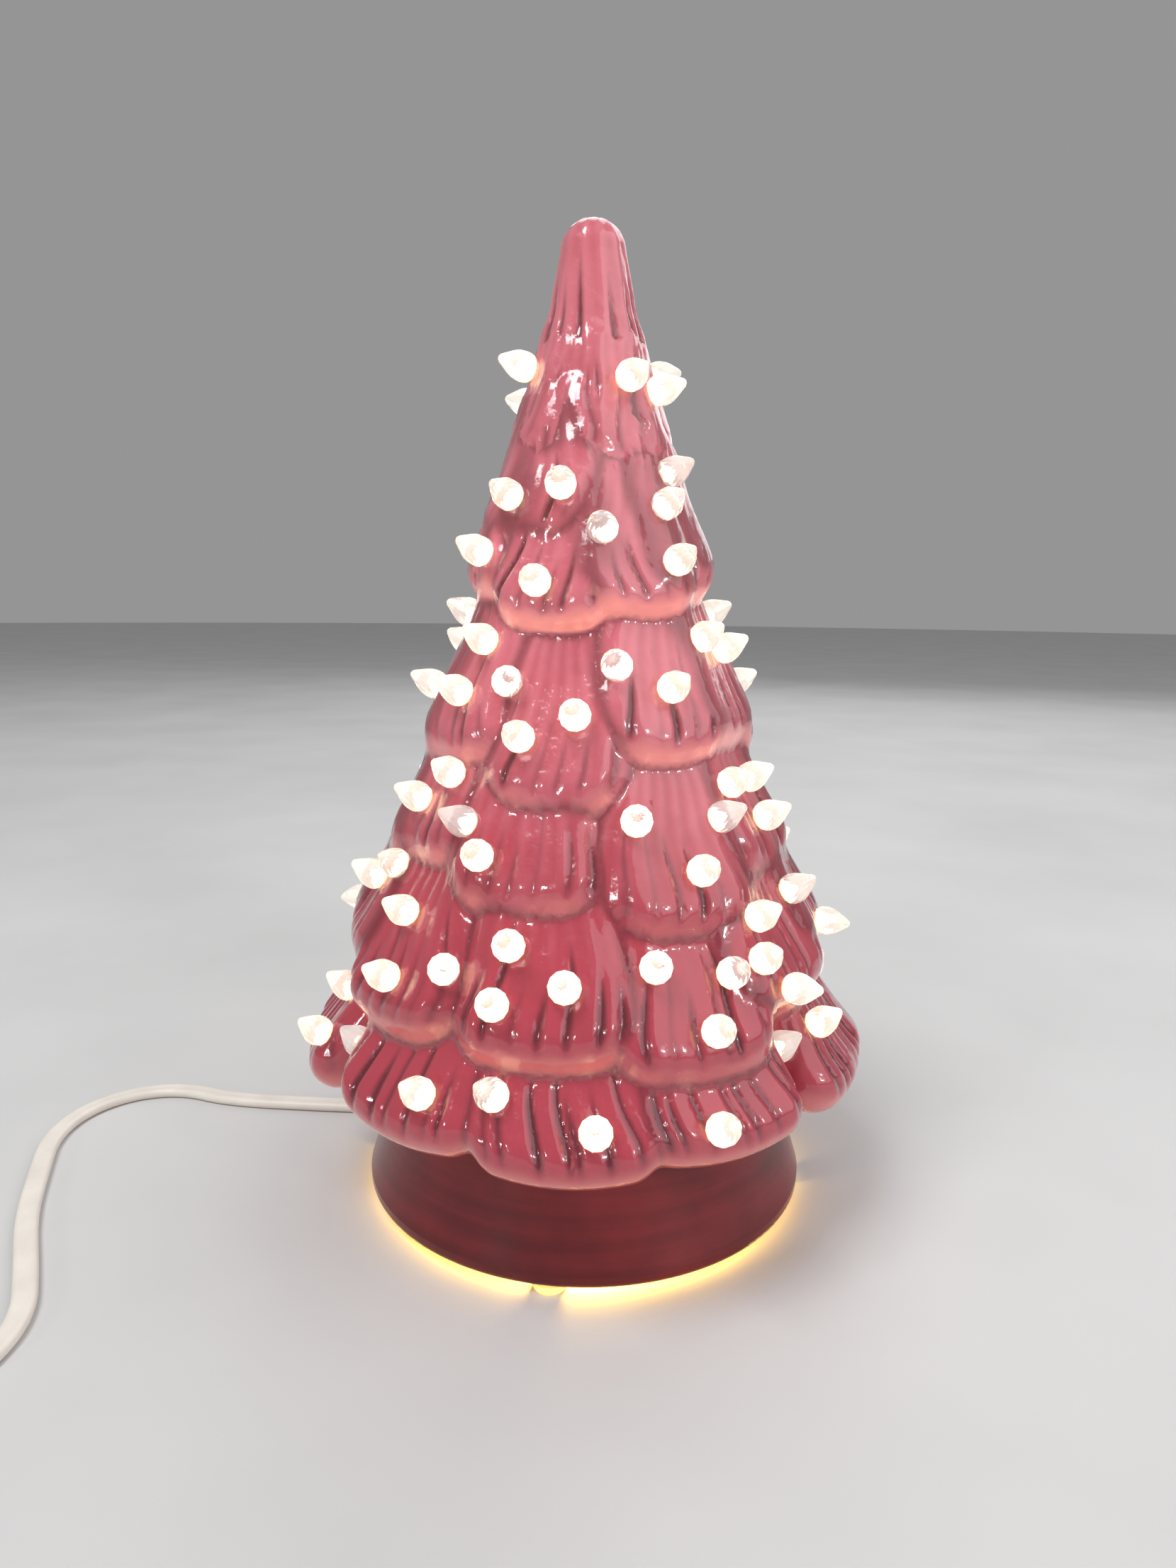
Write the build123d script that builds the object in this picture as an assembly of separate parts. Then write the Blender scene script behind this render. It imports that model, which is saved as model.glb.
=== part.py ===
"""Lit ceramic Christmas tree: a slip-cast tree shell with clear light pegs on a hollow lamp base.

Millimetres, +Z up. The origin is the middle of the base on the surface that it stands on.
The front of the tree faces -Y. An azimuth is counted from the front, positive towards +X.
"""
import os
from collections import namedtuple
from math import cos, hypot, radians, sin, sqrt, tan

from build123d import *

# Lamp base
bumper_height = 2.0
bumper_diameter = 8.0
bumper_count = 4
bumper_first_azimuth = -8.0
base_height = 28.0
base_tuck = 1.0
base_flare = 5.4
base_flare_sag = 0.7
base_edge = 1.6
base_wall = 4.5
deck_thickness = 4.5
deck_hole_diameter = 25.0
collar_height = 5.0
collar_wall = 3.5
collar_clearance = 0.8
cord_exit_azimuth = -115.0
cord_notch_clearance = 1.75
cord_notch_height = 7.0

# Tree shell: the heights in the lists are those of a tree of the drawn height, counted from its foot
tree_height = 218.0
drawn_height = 218.0
shell_wall = 4.5
trunk_foot_radius = 55.0
crown_tip_radius = 7.2
leaf_thickness = 0.6
leaf_top_share = 0.35
pocket_share = 0.7
hollow_bough_walls = 1.2
mould_seam_turn = 3.0
TRUNK = [(trunk_foot_radius, 0.0), (43.0, 54.0), (33.0, 82.0), (24.0, 118.0), (15.0, 160.0),
         (11.8, 184.0), (9.2, 201.0)]
REACH = [(75.0, 0.0), (64.0, 30.0), (50.0, 60.0), (41.0, 90.0), (31.0, 124.0), (19.0, 160.0)]

Tier = namedtuple("Tier", "name half_width half_depth tilt rise lips pegs")
TIERS = [
    Tier("crown", 9.0, 5.0, 14.0, 24.0,
         [(-66, 160), (-22, 158), (31, 158), (70, 162)],
         [(106, 183), (29, 179), (-121, 177)]),
    Tier("upper", 13.5, 7.0, 22.0, 26.0,
         [(-38, 138), (-72, 126), (-18, 119), (26, 122), (56, 125), (88, 129)],
         [(53, 157), (-16, 153), (-46, 151), (41, 149), (7, 143), (-56, 138), (39, 136), (-22, 131)]),
    Tier("middle", 15.0, 8.0, 27.0, 30.0,
         [(-56, 86), (-10, 77), (30, 88), (66, 90), (96, 85)],
         [(91, 123), (53, 118), (-47, 117), (-111, 115), (12, 112), (-35, 108), (29, 107),
          (-50, 105), (102, 105), (-4, 101), (-21, 96)]),
    Tier("lower", 17.5, 8.5, 29.0, 32.0,
         [(-60, 61), (-19, 54), (26, 49), (64, 58), (94, 57)],
         [(-47, 86), (50, 84), (62, 84), (-59, 79), (14, 78), (40, 77), (-35, 76), (61, 75),
          (-28, 70), (29, 67)]),
    Tier("wide", 19.0, 8.5, 32.0, 33.0,
         [(-78, 33), (-48, 25), (-9, 24.5), (25, 20.5), (52, 30), (80, 37)],
         [(-64, 62), (-69, 58), (62, 57), (43, 55), (-49, 54), (-17, 52), (15, 48), (40, 47),
          (-98, 45), (-33, 45), (-4, 45), (32, 45), (-45, 41), (-18, 41), (46, 40), (25, 35)]),
    Tier("skirt", 20.0, 7.0, 38.0, 32.0,
         [(-82, 2), (-38, 5), (-4, 3), (28, 5), (68, 4)],
         [(-72, 28), (58, 26), (44, 24), (-16, 22), (-54, 21), (-30, 20), (-70, 18), (2, 17),
          (23, 16), (-58, 12)]),
]
back_turn = 180.0

# Light pegs
peg_stem_diameter = 4.0
peg_stem_length = 6.5
peg_hole_clearance = 0.05
peg_hole_spare = 2.5
peg_hole_sides = 8
peg_head_radius = 3.75
peg_head_length = 9.2
peg_belly_height = 2.8
peg_neck_radius = 2.7
peg_shoulder_radius = 2.7
peg_shoulder_height = 5.9
peg_tip_radius = 1.0
peg_seat_gap = 0.1

# Lampholder
socket_radius = 9.5
socket_above_deck = 10.0
socket_over_neck = 1.6
socket_floor_thickness = 8.5
socket_edge = 1.0
socket_shell_clearance = 0.25
socket_shell_wall = 0.5
socket_shell_rim = 1.0
socket_shell_ledge = 2.0
contact_thickness = 0.8
contact_width = 4.0
clip_sheet = 0.6
clip_width = 9.0
clip_reach = 4.0
fit_gap = 0.05

# Candelabra bulb
bulb_foot_radius = 2.6
bulb_foot_height = 1.4
bulb_insulator_height = 2.2
bulb_insulator_lip = 0.4
bulb_shell_diameter = 11.8
bulb_shell_height = 12.0
bulb_shell_edge = 0.9
bulb_shell_lip = 0.4
bulb_mouth_depth = 1.4
bulb_glass_radius = 11.0
bulb_glass_length = 40.0
bulb_glass_wall = 0.7
bulb_shoulder = 6.5
bulb_belly_rise = 10.4
bulb_flank_radius = 7.6
bulb_flank_rise = 22.5
bulb_tip_radius = 1.8
stem_radius = 2.2
stem_height = 15.0
stem_seal = 1.5
wire_diameter = 0.5
filament_span = 9.0

# Cord, two conductors side by side
cord_width = 5.5
cord_thickness = 2.8
cord_outlet_rise = 4.0
cord_seat_depth = 3.0
cord_slot_clearance = 0.15
cord_arc_share = 0.45
cord_falls_from = 20.0
cord_falls_to = 45.0
cord_outside = 64.0

# Cord switch
switch_length = 46.0
switch_width = 21.0
switch_height = 11.0
switch_split = 5.4
switch_corner = 6.0
switch_top_edge = 1.5
switch_approach = 9.0
switch_wheel_radius = 9.0
switch_wheel_thickness = 4.0
switch_wheel_offset = 4.5
switch_wheel_grips = 18
switch_grip_radius = 0.8
switch_spindle_radius = 1.6
switch_spindle_clearance = 0.05
switch_pocket_clearance = 0.5
switch_cord_depth = 8.0
switch_screw_radius = 2.4
switch_screw_depth = 3.0
switch_screw_margin = 1.0
screw_cross_width = 0.6
screw_cross_depth = 0.4

# Put-away coil, and the cord that links it to the switch
link_level = 6.0
link_fall = 20.0
link_floor = 12.0
coil_outer_radius = 40.5
coil_turns = 4
coil_gap = 0.5
coil_tail = 34.0
tie_thickness = 0.5
tie_width = 8.0
tie_clearance = 0.4

# Plug
plug_length = 28.0
plug_width = 22.0
plug_corner = 3.0
plug_nose = 9.0
plug_neck_wall = 2.0
blade_width = 6.35
blade_thickness = 1.5
blade_length = 16.0
blade_root = 7.0
blade_edge = 0.4
blade_spacing = 12.7

# Worked-out places
base_bottom = bumper_height
base_top_radius = trunk_foot_radius - base_tuck
base_foot_radius = base_top_radius + base_flare
deck_top = base_bottom + base_height
deck_bottom = deck_top - deck_thickness
stretch = tree_height / drawn_height
cord_notch_width = cord_width + 2 * cord_notch_clearance
cord_low = cord_thickness / 2
coil_low = tie_thickness + tie_clearance + cord_low
coil_step = cord_thickness + coil_gap
coil_high = coil_low + coil_step
coil_pitch = cord_width + coil_gap
socket_top = deck_top + socket_above_deck
bulb_neck_z = socket_top - socket_over_neck
bulb_glass_z = bulb_neck_z - bulb_shoulder
bulb_shell_z = bulb_glass_z - bulb_shell_height
bulb_insulator_z = bulb_shell_z - bulb_insulator_height
contact_top = bulb_insulator_z - bulb_foot_height
socket_floor = contact_top - contact_thickness
socket_bottom = socket_floor - socket_floor_thickness
socket_shell_bore = bulb_shell_diameter + 2 * socket_shell_clearance
bulb_neck_radius = bulb_shell_diameter / 2 - bulb_shell_lip
cord_outlet_height = socket_bottom + cord_outlet_rise


def compass(azimuth):
    """Unit vector on the surface towards an azimuth counted from the front."""
    return Vector(sin(radians(azimuth)), -cos(radians(azimuth)), 0)


def between(points, z):
    """First value of (value, height) points at height z, on straight lines through the points."""
    for (v0, z0), (v1, z1) in zip(points, points[1:]):
        if z <= z1 or (v1, z1) == points[-1]:
            return v0 + (v1 - v0) * (z - z0) / (z1 - z0)


collar_radius = between(TRUNK, collar_height) - shell_wall - collar_clearance


def turned(outline):
    """Solid of revolution about Z from a closed outline of curves in (radius, height)."""
    return revolve(Plane.XZ * make_face(outline), axis=Axis.Z)


def tube_of_revolution(radius, bore, low, high):
    """Plain ring about Z."""
    ring = Pos(0, 0, (low + high) / 2) * Cylinder(radius, high - low)
    return ring - Pos(0, 0, (low + high) / 2) * Cylinder(bore, high - low)


# Cord route: the length inside the base, then as it lies on the surface
exit_dir = compass(cord_exit_azimuth)


def along_exit(distance, height):
    """Point above the line along which the cord leaves the base."""
    return exit_dir * distance + Vector(0, 0, height)


cord_start = socket_radius - cord_seat_depth
switch_cord_z = switch_split
LEAD = [along_exit(cord_start, cord_outlet_height), along_exit(cord_falls_from, cord_outlet_height),
        along_exit(cord_falls_to, cord_low), along_exit(cord_outside, cord_low)]
LEAD += [Vector(x, y, cord_low) for x, y in (
    (-84, 28.5), (-112, 31), (-128, 37.5), (-143.5, 34.5), (-154, 23), (-156, 6.5), (-150, -11),
    (-142, -33), (-131, -53), (-122.5, -70), (-124, -87), (-133.5, -99.5))]
switch_in = Vector(-166, -105.8, switch_cord_z)
switch_heading = Vector(-1, 0.12, 0).normalized()
LEAD += [Vector(-145.5, -105, 3.2), switch_in - switch_heading * switch_approach,
         switch_in + switch_heading * switch_cord_depth]
switch_middle = switch_in + switch_heading * (switch_length / 2)
switch_out = switch_in + switch_heading * switch_length
link_drop = Vector(0, 0, coil_low - switch_cord_z)
LINK = [switch_out - switch_heading * switch_cord_depth, switch_out + switch_heading * link_level]
LINK.append(LINK[-1] + switch_heading * link_fall + link_drop)
coil_start = LINK[-1] + switch_heading * link_floor
LINK.append(coil_start)


def cord_path(points, name):
    """Straight runs joined by arcs as large as their runs allow; prints the radii."""
    radii = []
    for before, corner, after in zip(points, points[1:], points[2:]):
        turn = radians((corner - before).get_angle(after - corner))
        run = min((corner - before).length, (after - corner).length)
        radii.append(cord_arc_share * run / tan(turn / 2))
    print(name, "bend radii", [round(r, 1) for r in radii])
    return FilletPolyline(*points, radius=radii)


def cord_section(path):
    """Two conductors side by side, square to the start of a path, with the wide way level."""
    start = path @ 0
    heading = path % 0
    across = Vector(0, 0, 1).cross(heading).normalized()
    return Plane(start, x_dir=across, z_dir=heading) * SlotOverall(cord_width, cord_thickness)


def cord_tube(path, name):
    """Cord swept along a path, checked against its section times its length."""
    section = cord_section(path)
    tube = sweep(section, path=path)
    print(name, "length", round(path.length, 1), "volume ratio",
          round(tube.volume / (section.area * path.length), 4))
    return tube


def base_ring():
    """Hollow flared base with a deck, a collar that centres the tree and a notch for the cord."""
    foot = base_foot_radius
    flare_mid = ((foot + base_top_radius) / 2 - base_flare_sag, (base_bottom + 2 * base_edge + deck_top) / 2)
    inner_mid = (flare_mid[0] - base_wall, flare_mid[1])
    inner_top = base_top_radius - base_wall
    outline = Curve() + [
        Line((foot - base_wall, base_bottom), (foot - base_edge, base_bottom)),
        RadiusArc((foot - base_edge, base_bottom), (foot, base_bottom + base_edge), -base_edge),
        Line((foot, base_bottom + base_edge), (foot, base_bottom + 2 * base_edge)),
        ThreePointArc((foot, base_bottom + 2 * base_edge), flare_mid, (base_top_radius, deck_top)),
        Polyline((base_top_radius, deck_top), (collar_radius, deck_top),
                 (collar_radius, deck_top + collar_height),
                 (collar_radius - collar_wall, deck_top + collar_height),
                 (collar_radius - collar_wall, deck_top), (deck_hole_diameter / 2, deck_top),
                 (deck_hole_diameter / 2, deck_bottom), (inner_top, deck_bottom)),
        ThreePointArc((inner_top, deck_bottom), inner_mid, (foot - base_wall, base_bottom + base_edge)),
        Line((foot - base_wall, base_bottom + base_edge), (foot - base_wall, base_bottom)),
    ]
    ring = turned(outline)
    half = cord_notch_width / 2
    arch = Pos(0, cord_notch_height - half) * Circle(half)
    arch += Pos(0, (cord_notch_height - half) / 2 - base_edge) * Rectangle(
        cord_notch_width, cord_notch_height - half + 2 * base_edge)
    side = Vector(0, 0, 1).cross(exit_dir)
    wall_start = exit_dir * (base_top_radius - 2 * base_wall) + Vector(0, 0, base_bottom)
    notch = extrude(Plane(wall_start, x_dir=side, z_dir=exit_dir) * arch, 4 * base_wall)
    return ring - notch


def bumper_feet():
    """Clear stick-on bumpers under the rim, with a rounded lower edge."""
    lower = bumper_height / 3
    foot = Pos(0, 0, bumper_height / 2) * Cylinder(bumper_diameter / 2, bumper_height)
    foot = fillet(foot.edges().sort_by(Axis.Z)[0], lower)
    middle = base_foot_radius - bumper_diameter / 2
    turns = [bumper_first_azimuth + 360 * i / bumper_count for i in range(bumper_count)]
    return [Pos(*(compass(a) * middle)) * foot for a in turns]


def trunk(inset):
    """Cone that carries the boughs, drawn in by an inset; the inset one is open below."""
    tip = tree_height - inset
    ball = crown_tip_radius - inset
    side = [(r - inset, z * stretch) for r, z in TRUNK]
    shoulder = (ball, tip - ball)
    base = -2 * inset
    mouth = [(0, base), (side[0][0], base)] if inset else [(0, base)]
    outline = Curve() + [
        Polyline(*mouth, *side, shoulder),
        RadiusArc(shoulder, (0, tip), -ball),
        Line((0, tip), (0, base)),
    ]
    return Pos(0, 0, deck_top) * turned(outline)


def bough_leaf(tier, azimuth, lip):
    """Thin leaf in the middle of a bough, and its frame: X along the lip, Y down along the bough."""
    tilt = radians(tier.tilt)
    out = compass(azimuth)
    reach = between(REACH, lip) - tier.half_depth
    lip_middle = out * reach + Vector(0, 0, deck_top + lip * stretch + tier.half_depth)
    axis = out * sin(tilt) - Vector(0, 0, cos(tilt))
    side = axis.cross(out).normalized()
    half = tier.half_width - tier.half_depth
    top = leaf_top_share * half
    length = tier.rise / cos(tilt)
    outline = Polyline((-half, 0), (half, 0), (top, -length), (-top, -length), close=True)
    leaf = extrude(make_face(outline), leaf_thickness / 2, both=True)
    return leaf, Plane(lip_middle, x_dir=side, z_dir=side.cross(axis))


def bough(tier, azimuth, lip):
    """Drooping bough: the leaf grown all round by a ball of the half depth."""
    leaf, place = bough_leaf(tier, azimuth, lip)
    return place * offset(leaf, amount=tier.half_depth, kind=Kind.ARC)


def bough_pocket(tier, azimuth, lip):
    """Flat pocket inside a bough: the leaf grown with square edges, inside the wall."""
    leaf, place = bough_leaf(tier, azimuth, lip)
    return place * offset(leaf, amount=pocket_share * (tier.half_depth - shell_wall), kind=Kind.INTERSECTION)


def all_round(places):
    """Places of the front, with the same turned to the back."""
    return places + [(a + back_turn, z) for a, z in places]


def tree_body():
    """Solid outer form of the tree, before it is hollowed."""
    boughs = [bough(t, a, z) for t in TIERS for a, z in all_round(t.lips)]
    return trunk(0).fuse(*boughs)


def tree_cavity():
    """Hollow that the slip leaves: the trunk drawn in by the wall and the boughs' pockets."""
    hollow = [t for t in TIERS if t.half_depth > hollow_bough_walls * shell_wall]
    pockets = [bough_pocket(t, a, z) for t in hollow for a, z in all_round(t.lips)]
    return trunk(shell_wall).fuse(*pockets)


def shell_halves(shell):
    """The one cast shell in two halves that meet face to face on the seam of its mould, by name."""
    size = 2 * tree_height
    before_seam = Rot(0, 0, mould_seam_turn) * (Pos(0, -size / 2, 0) * Box(size, size, 2 * size))
    front = shell & before_seam
    return {"tree_shell_front": front, "tree_shell_back": Rot(0, 0, back_turn) * front}


def peg_seats(body, tier):
    """Planes on the glazed surface at a tier's pegs, square to the surface."""
    seats = []
    for azimuth, height in all_round(tier.pegs):
        far = compass(azimuth) * (2 * base_foot_radius) + Vector(0, 0, deck_top + height * stretch)
        hits = body.find_intersection_points(Axis(far, -compass(azimuth)))
        point, normal = min(hits, key=lambda hit: (hit[0] - far).length)
        seats.append(Plane(point, z_dir=normal))
    return seats


def peg():
    """Clear plastic light: a stem for the hole and a pointed head on a narrow neck."""
    stem = peg_stem_diameter / 2
    point = peg_head_length - peg_tip_radius
    outline = Curve() + [
        Polyline((0, -peg_stem_length), (stem, -peg_stem_length), (stem, peg_seat_gap),
                 (peg_neck_radius, peg_seat_gap)),
        TangentArc((peg_head_radius, peg_belly_height), (peg_neck_radius, peg_seat_gap), tangent=(0, -1)),
        ThreePointArc((peg_head_radius, peg_belly_height), (peg_shoulder_radius, peg_shoulder_height),
                      (peg_tip_radius, point)),
        RadiusArc((peg_tip_radius, point), (0, peg_head_length), -peg_tip_radius),
        Line((0, peg_head_length), (0, -peg_stem_length)),
    ]
    return turned(outline)


def peg_hole():
    """Cutter for a peg's hole, from outside the surface inwards, with flat sides that touch the stem."""
    reach = peg_stem_length + peg_hole_spare + peg_stem_diameter
    flats = RegularPolygon(peg_stem_diameter / 2 + peg_hole_clearance, peg_hole_sides, major_radius=False)
    return Pos(0, 0, peg_stem_diameter - reach) * extrude(flats, reach)


def socket_body():
    """Moulded lampholder barrel with a bore for the screw shell and a pocket for the cord."""
    bore = socket_shell_bore / 2 + socket_shell_wall + fit_gap
    barrel = Pos(0, 0, (socket_bottom + socket_top) / 2) * Cylinder(
        socket_radius, socket_top - socket_bottom)
    barrel -= Pos(0, 0, (socket_floor + socket_top) / 2) * Cylinder(bore, socket_top - socket_floor)
    side = Vector(0, 0, 1).cross(exit_dir)
    grown = 2 * cord_slot_clearance
    slot = SlotOverall(cord_width + grown, cord_thickness + grown)
    pocket = extrude(Plane(LEAD[0], x_dir=side, z_dir=exit_dir) * slot, 2 * cord_seat_depth)
    return chamfer(barrel.edges().sort_by(Axis.Z)[0], socket_edge) - pocket


def socket_shell():
    """Brass screw shell inside the barrel, with a floor round the centre contact."""
    bore = socket_shell_bore / 2
    low = bulb_insulator_z
    shell = tube_of_revolution(bore + socket_shell_wall, bore, low, socket_top - socket_shell_rim)
    ledge = tube_of_revolution(bore + socket_shell_wall, bulb_foot_radius + socket_shell_ledge,
                               low - socket_shell_wall, low)
    return shell + ledge


def socket_contact():
    """Centre contact strip on the floor of the lampholder."""
    length = 2 * bulb_foot_radius + contact_width
    strip = Box(length, contact_width, contact_thickness)
    return Pos(0, 0, socket_floor + contact_thickness / 2) * strip


def socket_clip():
    """Spring clip: a sleeve on the barrel, ears under the deck and wings that spread above it."""
    sleeve_in = socket_radius + fit_gap
    sleeve_out = sleeve_in + clip_sheet
    hole = deck_hole_diameter / 2
    low = deck_bottom - clip_sheet
    wing_top = deck_top + 2 * clip_reach
    clip = tube_of_revolution(sleeve_out, sleeve_in, low, wing_top)
    ear = Pos((sleeve_in + hole + clip_reach) / 2, 0, low + clip_sheet / 2) * Box(
        hole + clip_reach - sleeve_in, clip_width, clip_sheet)
    toe = hole + clip_reach / 2
    wing_face = Polyline((sleeve_in + clip_sheet / 2, wing_top), (sleeve_out + clip_sheet, wing_top),
                         (toe + clip_sheet, deck_top + clip_sheet), (toe + clip_sheet, deck_top),
                         (toe - clip_sheet, deck_top), (toe - clip_sheet, deck_top + clip_sheet),
                         (sleeve_in + clip_sheet / 2, wing_top - 2 * clip_sheet), close=True)
    wing = Pos(0, clip_width / 2, 0) * extrude(Plane.XZ * make_face(wing_face), clip_width)
    for part in (ear, wing):
        part -= Cylinder(sleeve_in, 4 * socket_top)
        clip += [part, Rot(0, 0, 180) * part]
    return clip


def bulb_foot():
    """Lead button at the bottom of the bulb."""
    button = Pos(0, 0, contact_top + bulb_foot_height / 2) * Cylinder(bulb_foot_radius, bulb_foot_height)
    return fillet(button.edges().sort_by(Axis.Z)[0], bulb_foot_height / 3)


def bulb_insulator():
    """Black glass cone between the button and the screw shell."""
    middle = bulb_insulator_z + bulb_insulator_height / 2
    wide = bulb_shell_diameter / 2 - bulb_shell_edge
    return Pos(0, 0, middle) * Cone(bulb_foot_radius + bulb_insulator_lip, wide, bulb_insulator_height)


def bulb_shell():
    """Brass screw shell of the bulb, closed below, with the glass neck in its mouth."""
    radius = bulb_shell_diameter / 2
    shell = Pos(0, 0, bulb_shell_z + bulb_shell_height / 2) * Cylinder(radius, bulb_shell_height)
    shell = chamfer(shell.edges().sort_by(Axis.Z)[0], bulb_shell_edge)
    mouth = Pos(0, 0, bulb_glass_z) * Cylinder(bulb_neck_radius + fit_gap, 2 * bulb_mouth_depth)
    return shell - mouth


def bulb_flame(inset):
    """Candle-flame outline of the bulb's glass from the neck to the tip, drawn in by an inset."""
    foot = (bulb_neck_radius - inset, bulb_glass_z - bulb_mouth_depth)
    neck = (foot[0], bulb_neck_z)
    belly = (bulb_glass_radius - inset, bulb_neck_z + bulb_belly_rise)
    waist = ((neck[0] + belly[0]) / 2, (neck[1] + belly[1]) / 2)
    flank = (bulb_flank_radius - inset, bulb_neck_z + bulb_flank_rise)
    tip = (0, bulb_glass_z + bulb_glass_length - inset)
    ball = bulb_tip_radius - inset
    curves = [
        Line(foot, neck),
        TangentArc(neck, waist, tangent=(0, 1)),
        TangentArc(belly, waist, tangent=(0, -1)),
        ThreePointArc(belly, flank, (ball, tip[1] - ball)),
        RadiusArc((ball, tip[1] - ball), tip, -ball),
    ]
    return curves, foot, tip


def bulb_glass():
    """Thin clear envelope, open at the neck."""
    outer, outer_foot, outer_tip = bulb_flame(0)
    inner, inner_foot, inner_tip = bulb_flame(bulb_glass_wall)
    return turned(Curve() + [*outer, *inner, Line(outer_foot, inner_foot), Line(outer_tip, inner_tip)])


def bulb_stem():
    """Glass stem that seals the neck and carries the wires."""
    low = bulb_glass_z - bulb_mouth_depth
    seal = bulb_neck_radius - bulb_glass_wall - fit_gap
    outline = Polyline((0, low), (seal, low), (seal, low + stem_seal), (stem_radius, low + bulb_shoulder),
                       (stem_radius, low + stem_height), (0, low + stem_height), close=True)
    return turned(outline)


def bulb_filament():
    """One bent wire: up from the stem, over the filament's arch and down again."""
    low = bulb_glass_z - bulb_mouth_depth + stem_height
    half = filament_span / 2
    root = stem_radius / 2
    high = low + filament_span
    points = [(root, 0, low), (half, 0, high), (0, 0, high + root), (-half, 0, high), (-root, 0, low)]
    path = FilletPolyline(*points, radius=2 * wire_diameter)
    section = Plane(path @ 0, z_dir=path % 0) * Circle(wire_diameter / 2)
    return sweep(section, path=path)


def switch_place():
    """Frame of the cord switch: X along the cord, Z up, at the surface."""
    return Plane(Vector(switch_middle.X, switch_middle.Y, 0), x_dir=switch_heading, z_dir=(0, 0, 1))


def switch_case():
    """Outer form of the switch, with the wheel's pocket and the cord's pockets cut out."""
    case = extrude(RectangleRounded(switch_length, switch_width, switch_corner), switch_height)
    case = fillet(case.edges().group_by(Axis.Z)[-1], switch_top_edge)
    reach = switch_wheel_radius + switch_pocket_clearance
    tall = switch_wheel_thickness + 2 * switch_pocket_clearance
    case -= Pos(0, switch_wheel_offset, switch_split) * Cylinder(reach, tall)
    grown = 2 * cord_slot_clearance
    slot = SlotOverall(cord_width + grown, cord_thickness + grown)
    for end in (-1, 1):
        mouth = Plane((end * switch_length / 2, 0, switch_split), x_dir=(0, 1, 0), z_dir=(-end, 0, 0))
        case -= extrude(mouth * slot, switch_cord_depth)
    screw_x = -switch_length / 2 + switch_cord_depth + switch_screw_radius + switch_screw_margin
    return case, Vector(screw_x, -switch_width / 4, 0)


def switch_parts():
    """Lower and upper halves, the wheel on its spindle and the screw that closes the case."""
    case, screw_at = switch_case()
    size = 2 * switch_length
    lower = case - Pos(0, 0, switch_split + size / 2) * Box(size, size, size)
    upper = case - Pos(0, 0, switch_split - size / 2) * Box(size, size, size)
    half_tall = switch_wheel_thickness / 2 + switch_pocket_clearance
    spindle = Pos(0, switch_wheel_offset, switch_split) * Cylinder(switch_spindle_radius, 2 * half_tall)
    lower += spindle
    head_z = switch_height - switch_screw_depth
    well = Pos(screw_at.X, screw_at.Y, head_z) * Cylinder(
        switch_screw_radius + fit_gap, switch_screw_depth, align=(Align.CENTER, Align.CENTER, Align.MIN))
    upper -= well
    screw = Pos(screw_at.X, screw_at.Y, head_z) * Cylinder(
        switch_screw_radius, switch_screw_depth / 2, align=(Align.CENTER, Align.CENTER, Align.MIN))
    cross_length = 2 * switch_screw_radius
    cross = Box(cross_length, screw_cross_width, 2 * screw_cross_depth)
    cross += Box(screw_cross_width, cross_length, 2 * screw_cross_depth)
    screw -= Pos(screw_at.X, screw_at.Y, head_z + switch_screw_depth / 2) * cross
    wheel = Cylinder(switch_wheel_radius, switch_wheel_thickness)
    wheel -= Cylinder(switch_spindle_radius + switch_spindle_clearance, 2 * switch_wheel_thickness)
    grips = PolarLocations(switch_wheel_radius, switch_wheel_grips)
    wheel -= grips * Cylinder(switch_grip_radius, 2 * switch_wheel_thickness)
    wheel = Pos(0, switch_wheel_offset, switch_split) * wheel
    place = switch_place()
    return [place * piece for piece in (lower, upper, screw, wheel)]


def coil_path():
    """Spiral in on the lower layer, a climb over the innermost half turn, and out again above.

    It is drawn in a frame whose X axis is the cord's heading, with the turns to the right.
    """
    heading = switch_heading
    right = heading.cross(Vector(0, 0, 1))
    up = Vector(0, 0, 1)
    half_turns = 2 * coil_turns

    def place(x, y, z):
        return coil_start + heading * x + right * y + up * z

    edges = [Line(place(0, 0, 0), place(cord_width, 0, 0))]
    x, y, z, side, radius = cord_width, 0.0, 0.0, 1, coil_outer_radius

    def half_turn(rise):
        nonlocal x, y, z, side
        start = place(x, y, z)
        end = place(x, y + side * 2 * radius, z + rise)
        bulge = sqrt(radius ** 2 + rise ** 2 / 4)
        middle = place(x + side * bulge, y + side * radius, z + rise / 2)
        edges.append(TangentArc(start, middle, tangent=heading * side))
        last = edges[-1]
        edges.append(TangentArc(middle, end, tangent=last % 1))
        y += side * 2 * radius
        z += rise
        side = -side

    for _ in range(half_turns - 1):
        half_turn(0)
        radius -= coil_pitch / 2
    half_turn(coil_step)
    for _ in range(half_turns - 2):
        radius += coil_pitch / 2
        half_turn(0)
    radius += coil_pitch / 2
    quarter = place(x + radius, y + radius, z)
    edges.append(TangentArc(place(x, y, z), quarter, tangent=heading))
    tail = quarter + right * coil_tail
    edges.append(Line(quarter, tail))
    return Wire([e.edge() for e in edges]), tail, right


def coil_self_gap(path):
    """Least gap of the coil to itself, on points a third of a width apart."""
    count = int(path.length / (cord_width / 3))
    points = [path @ (i / count) for i in range(count + 1)]
    apart = int(4 * cord_width / (cord_width / 3))
    least = coil_outer_radius
    for i, p in enumerate(points):
        for q in points[i + apart:]:
            level = hypot(p.X - q.X, p.Y - q.Y) - cord_width
            over = abs(p.Z - q.Z) - cord_thickness
            least = min(least, max(level, over))
    return least


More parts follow.
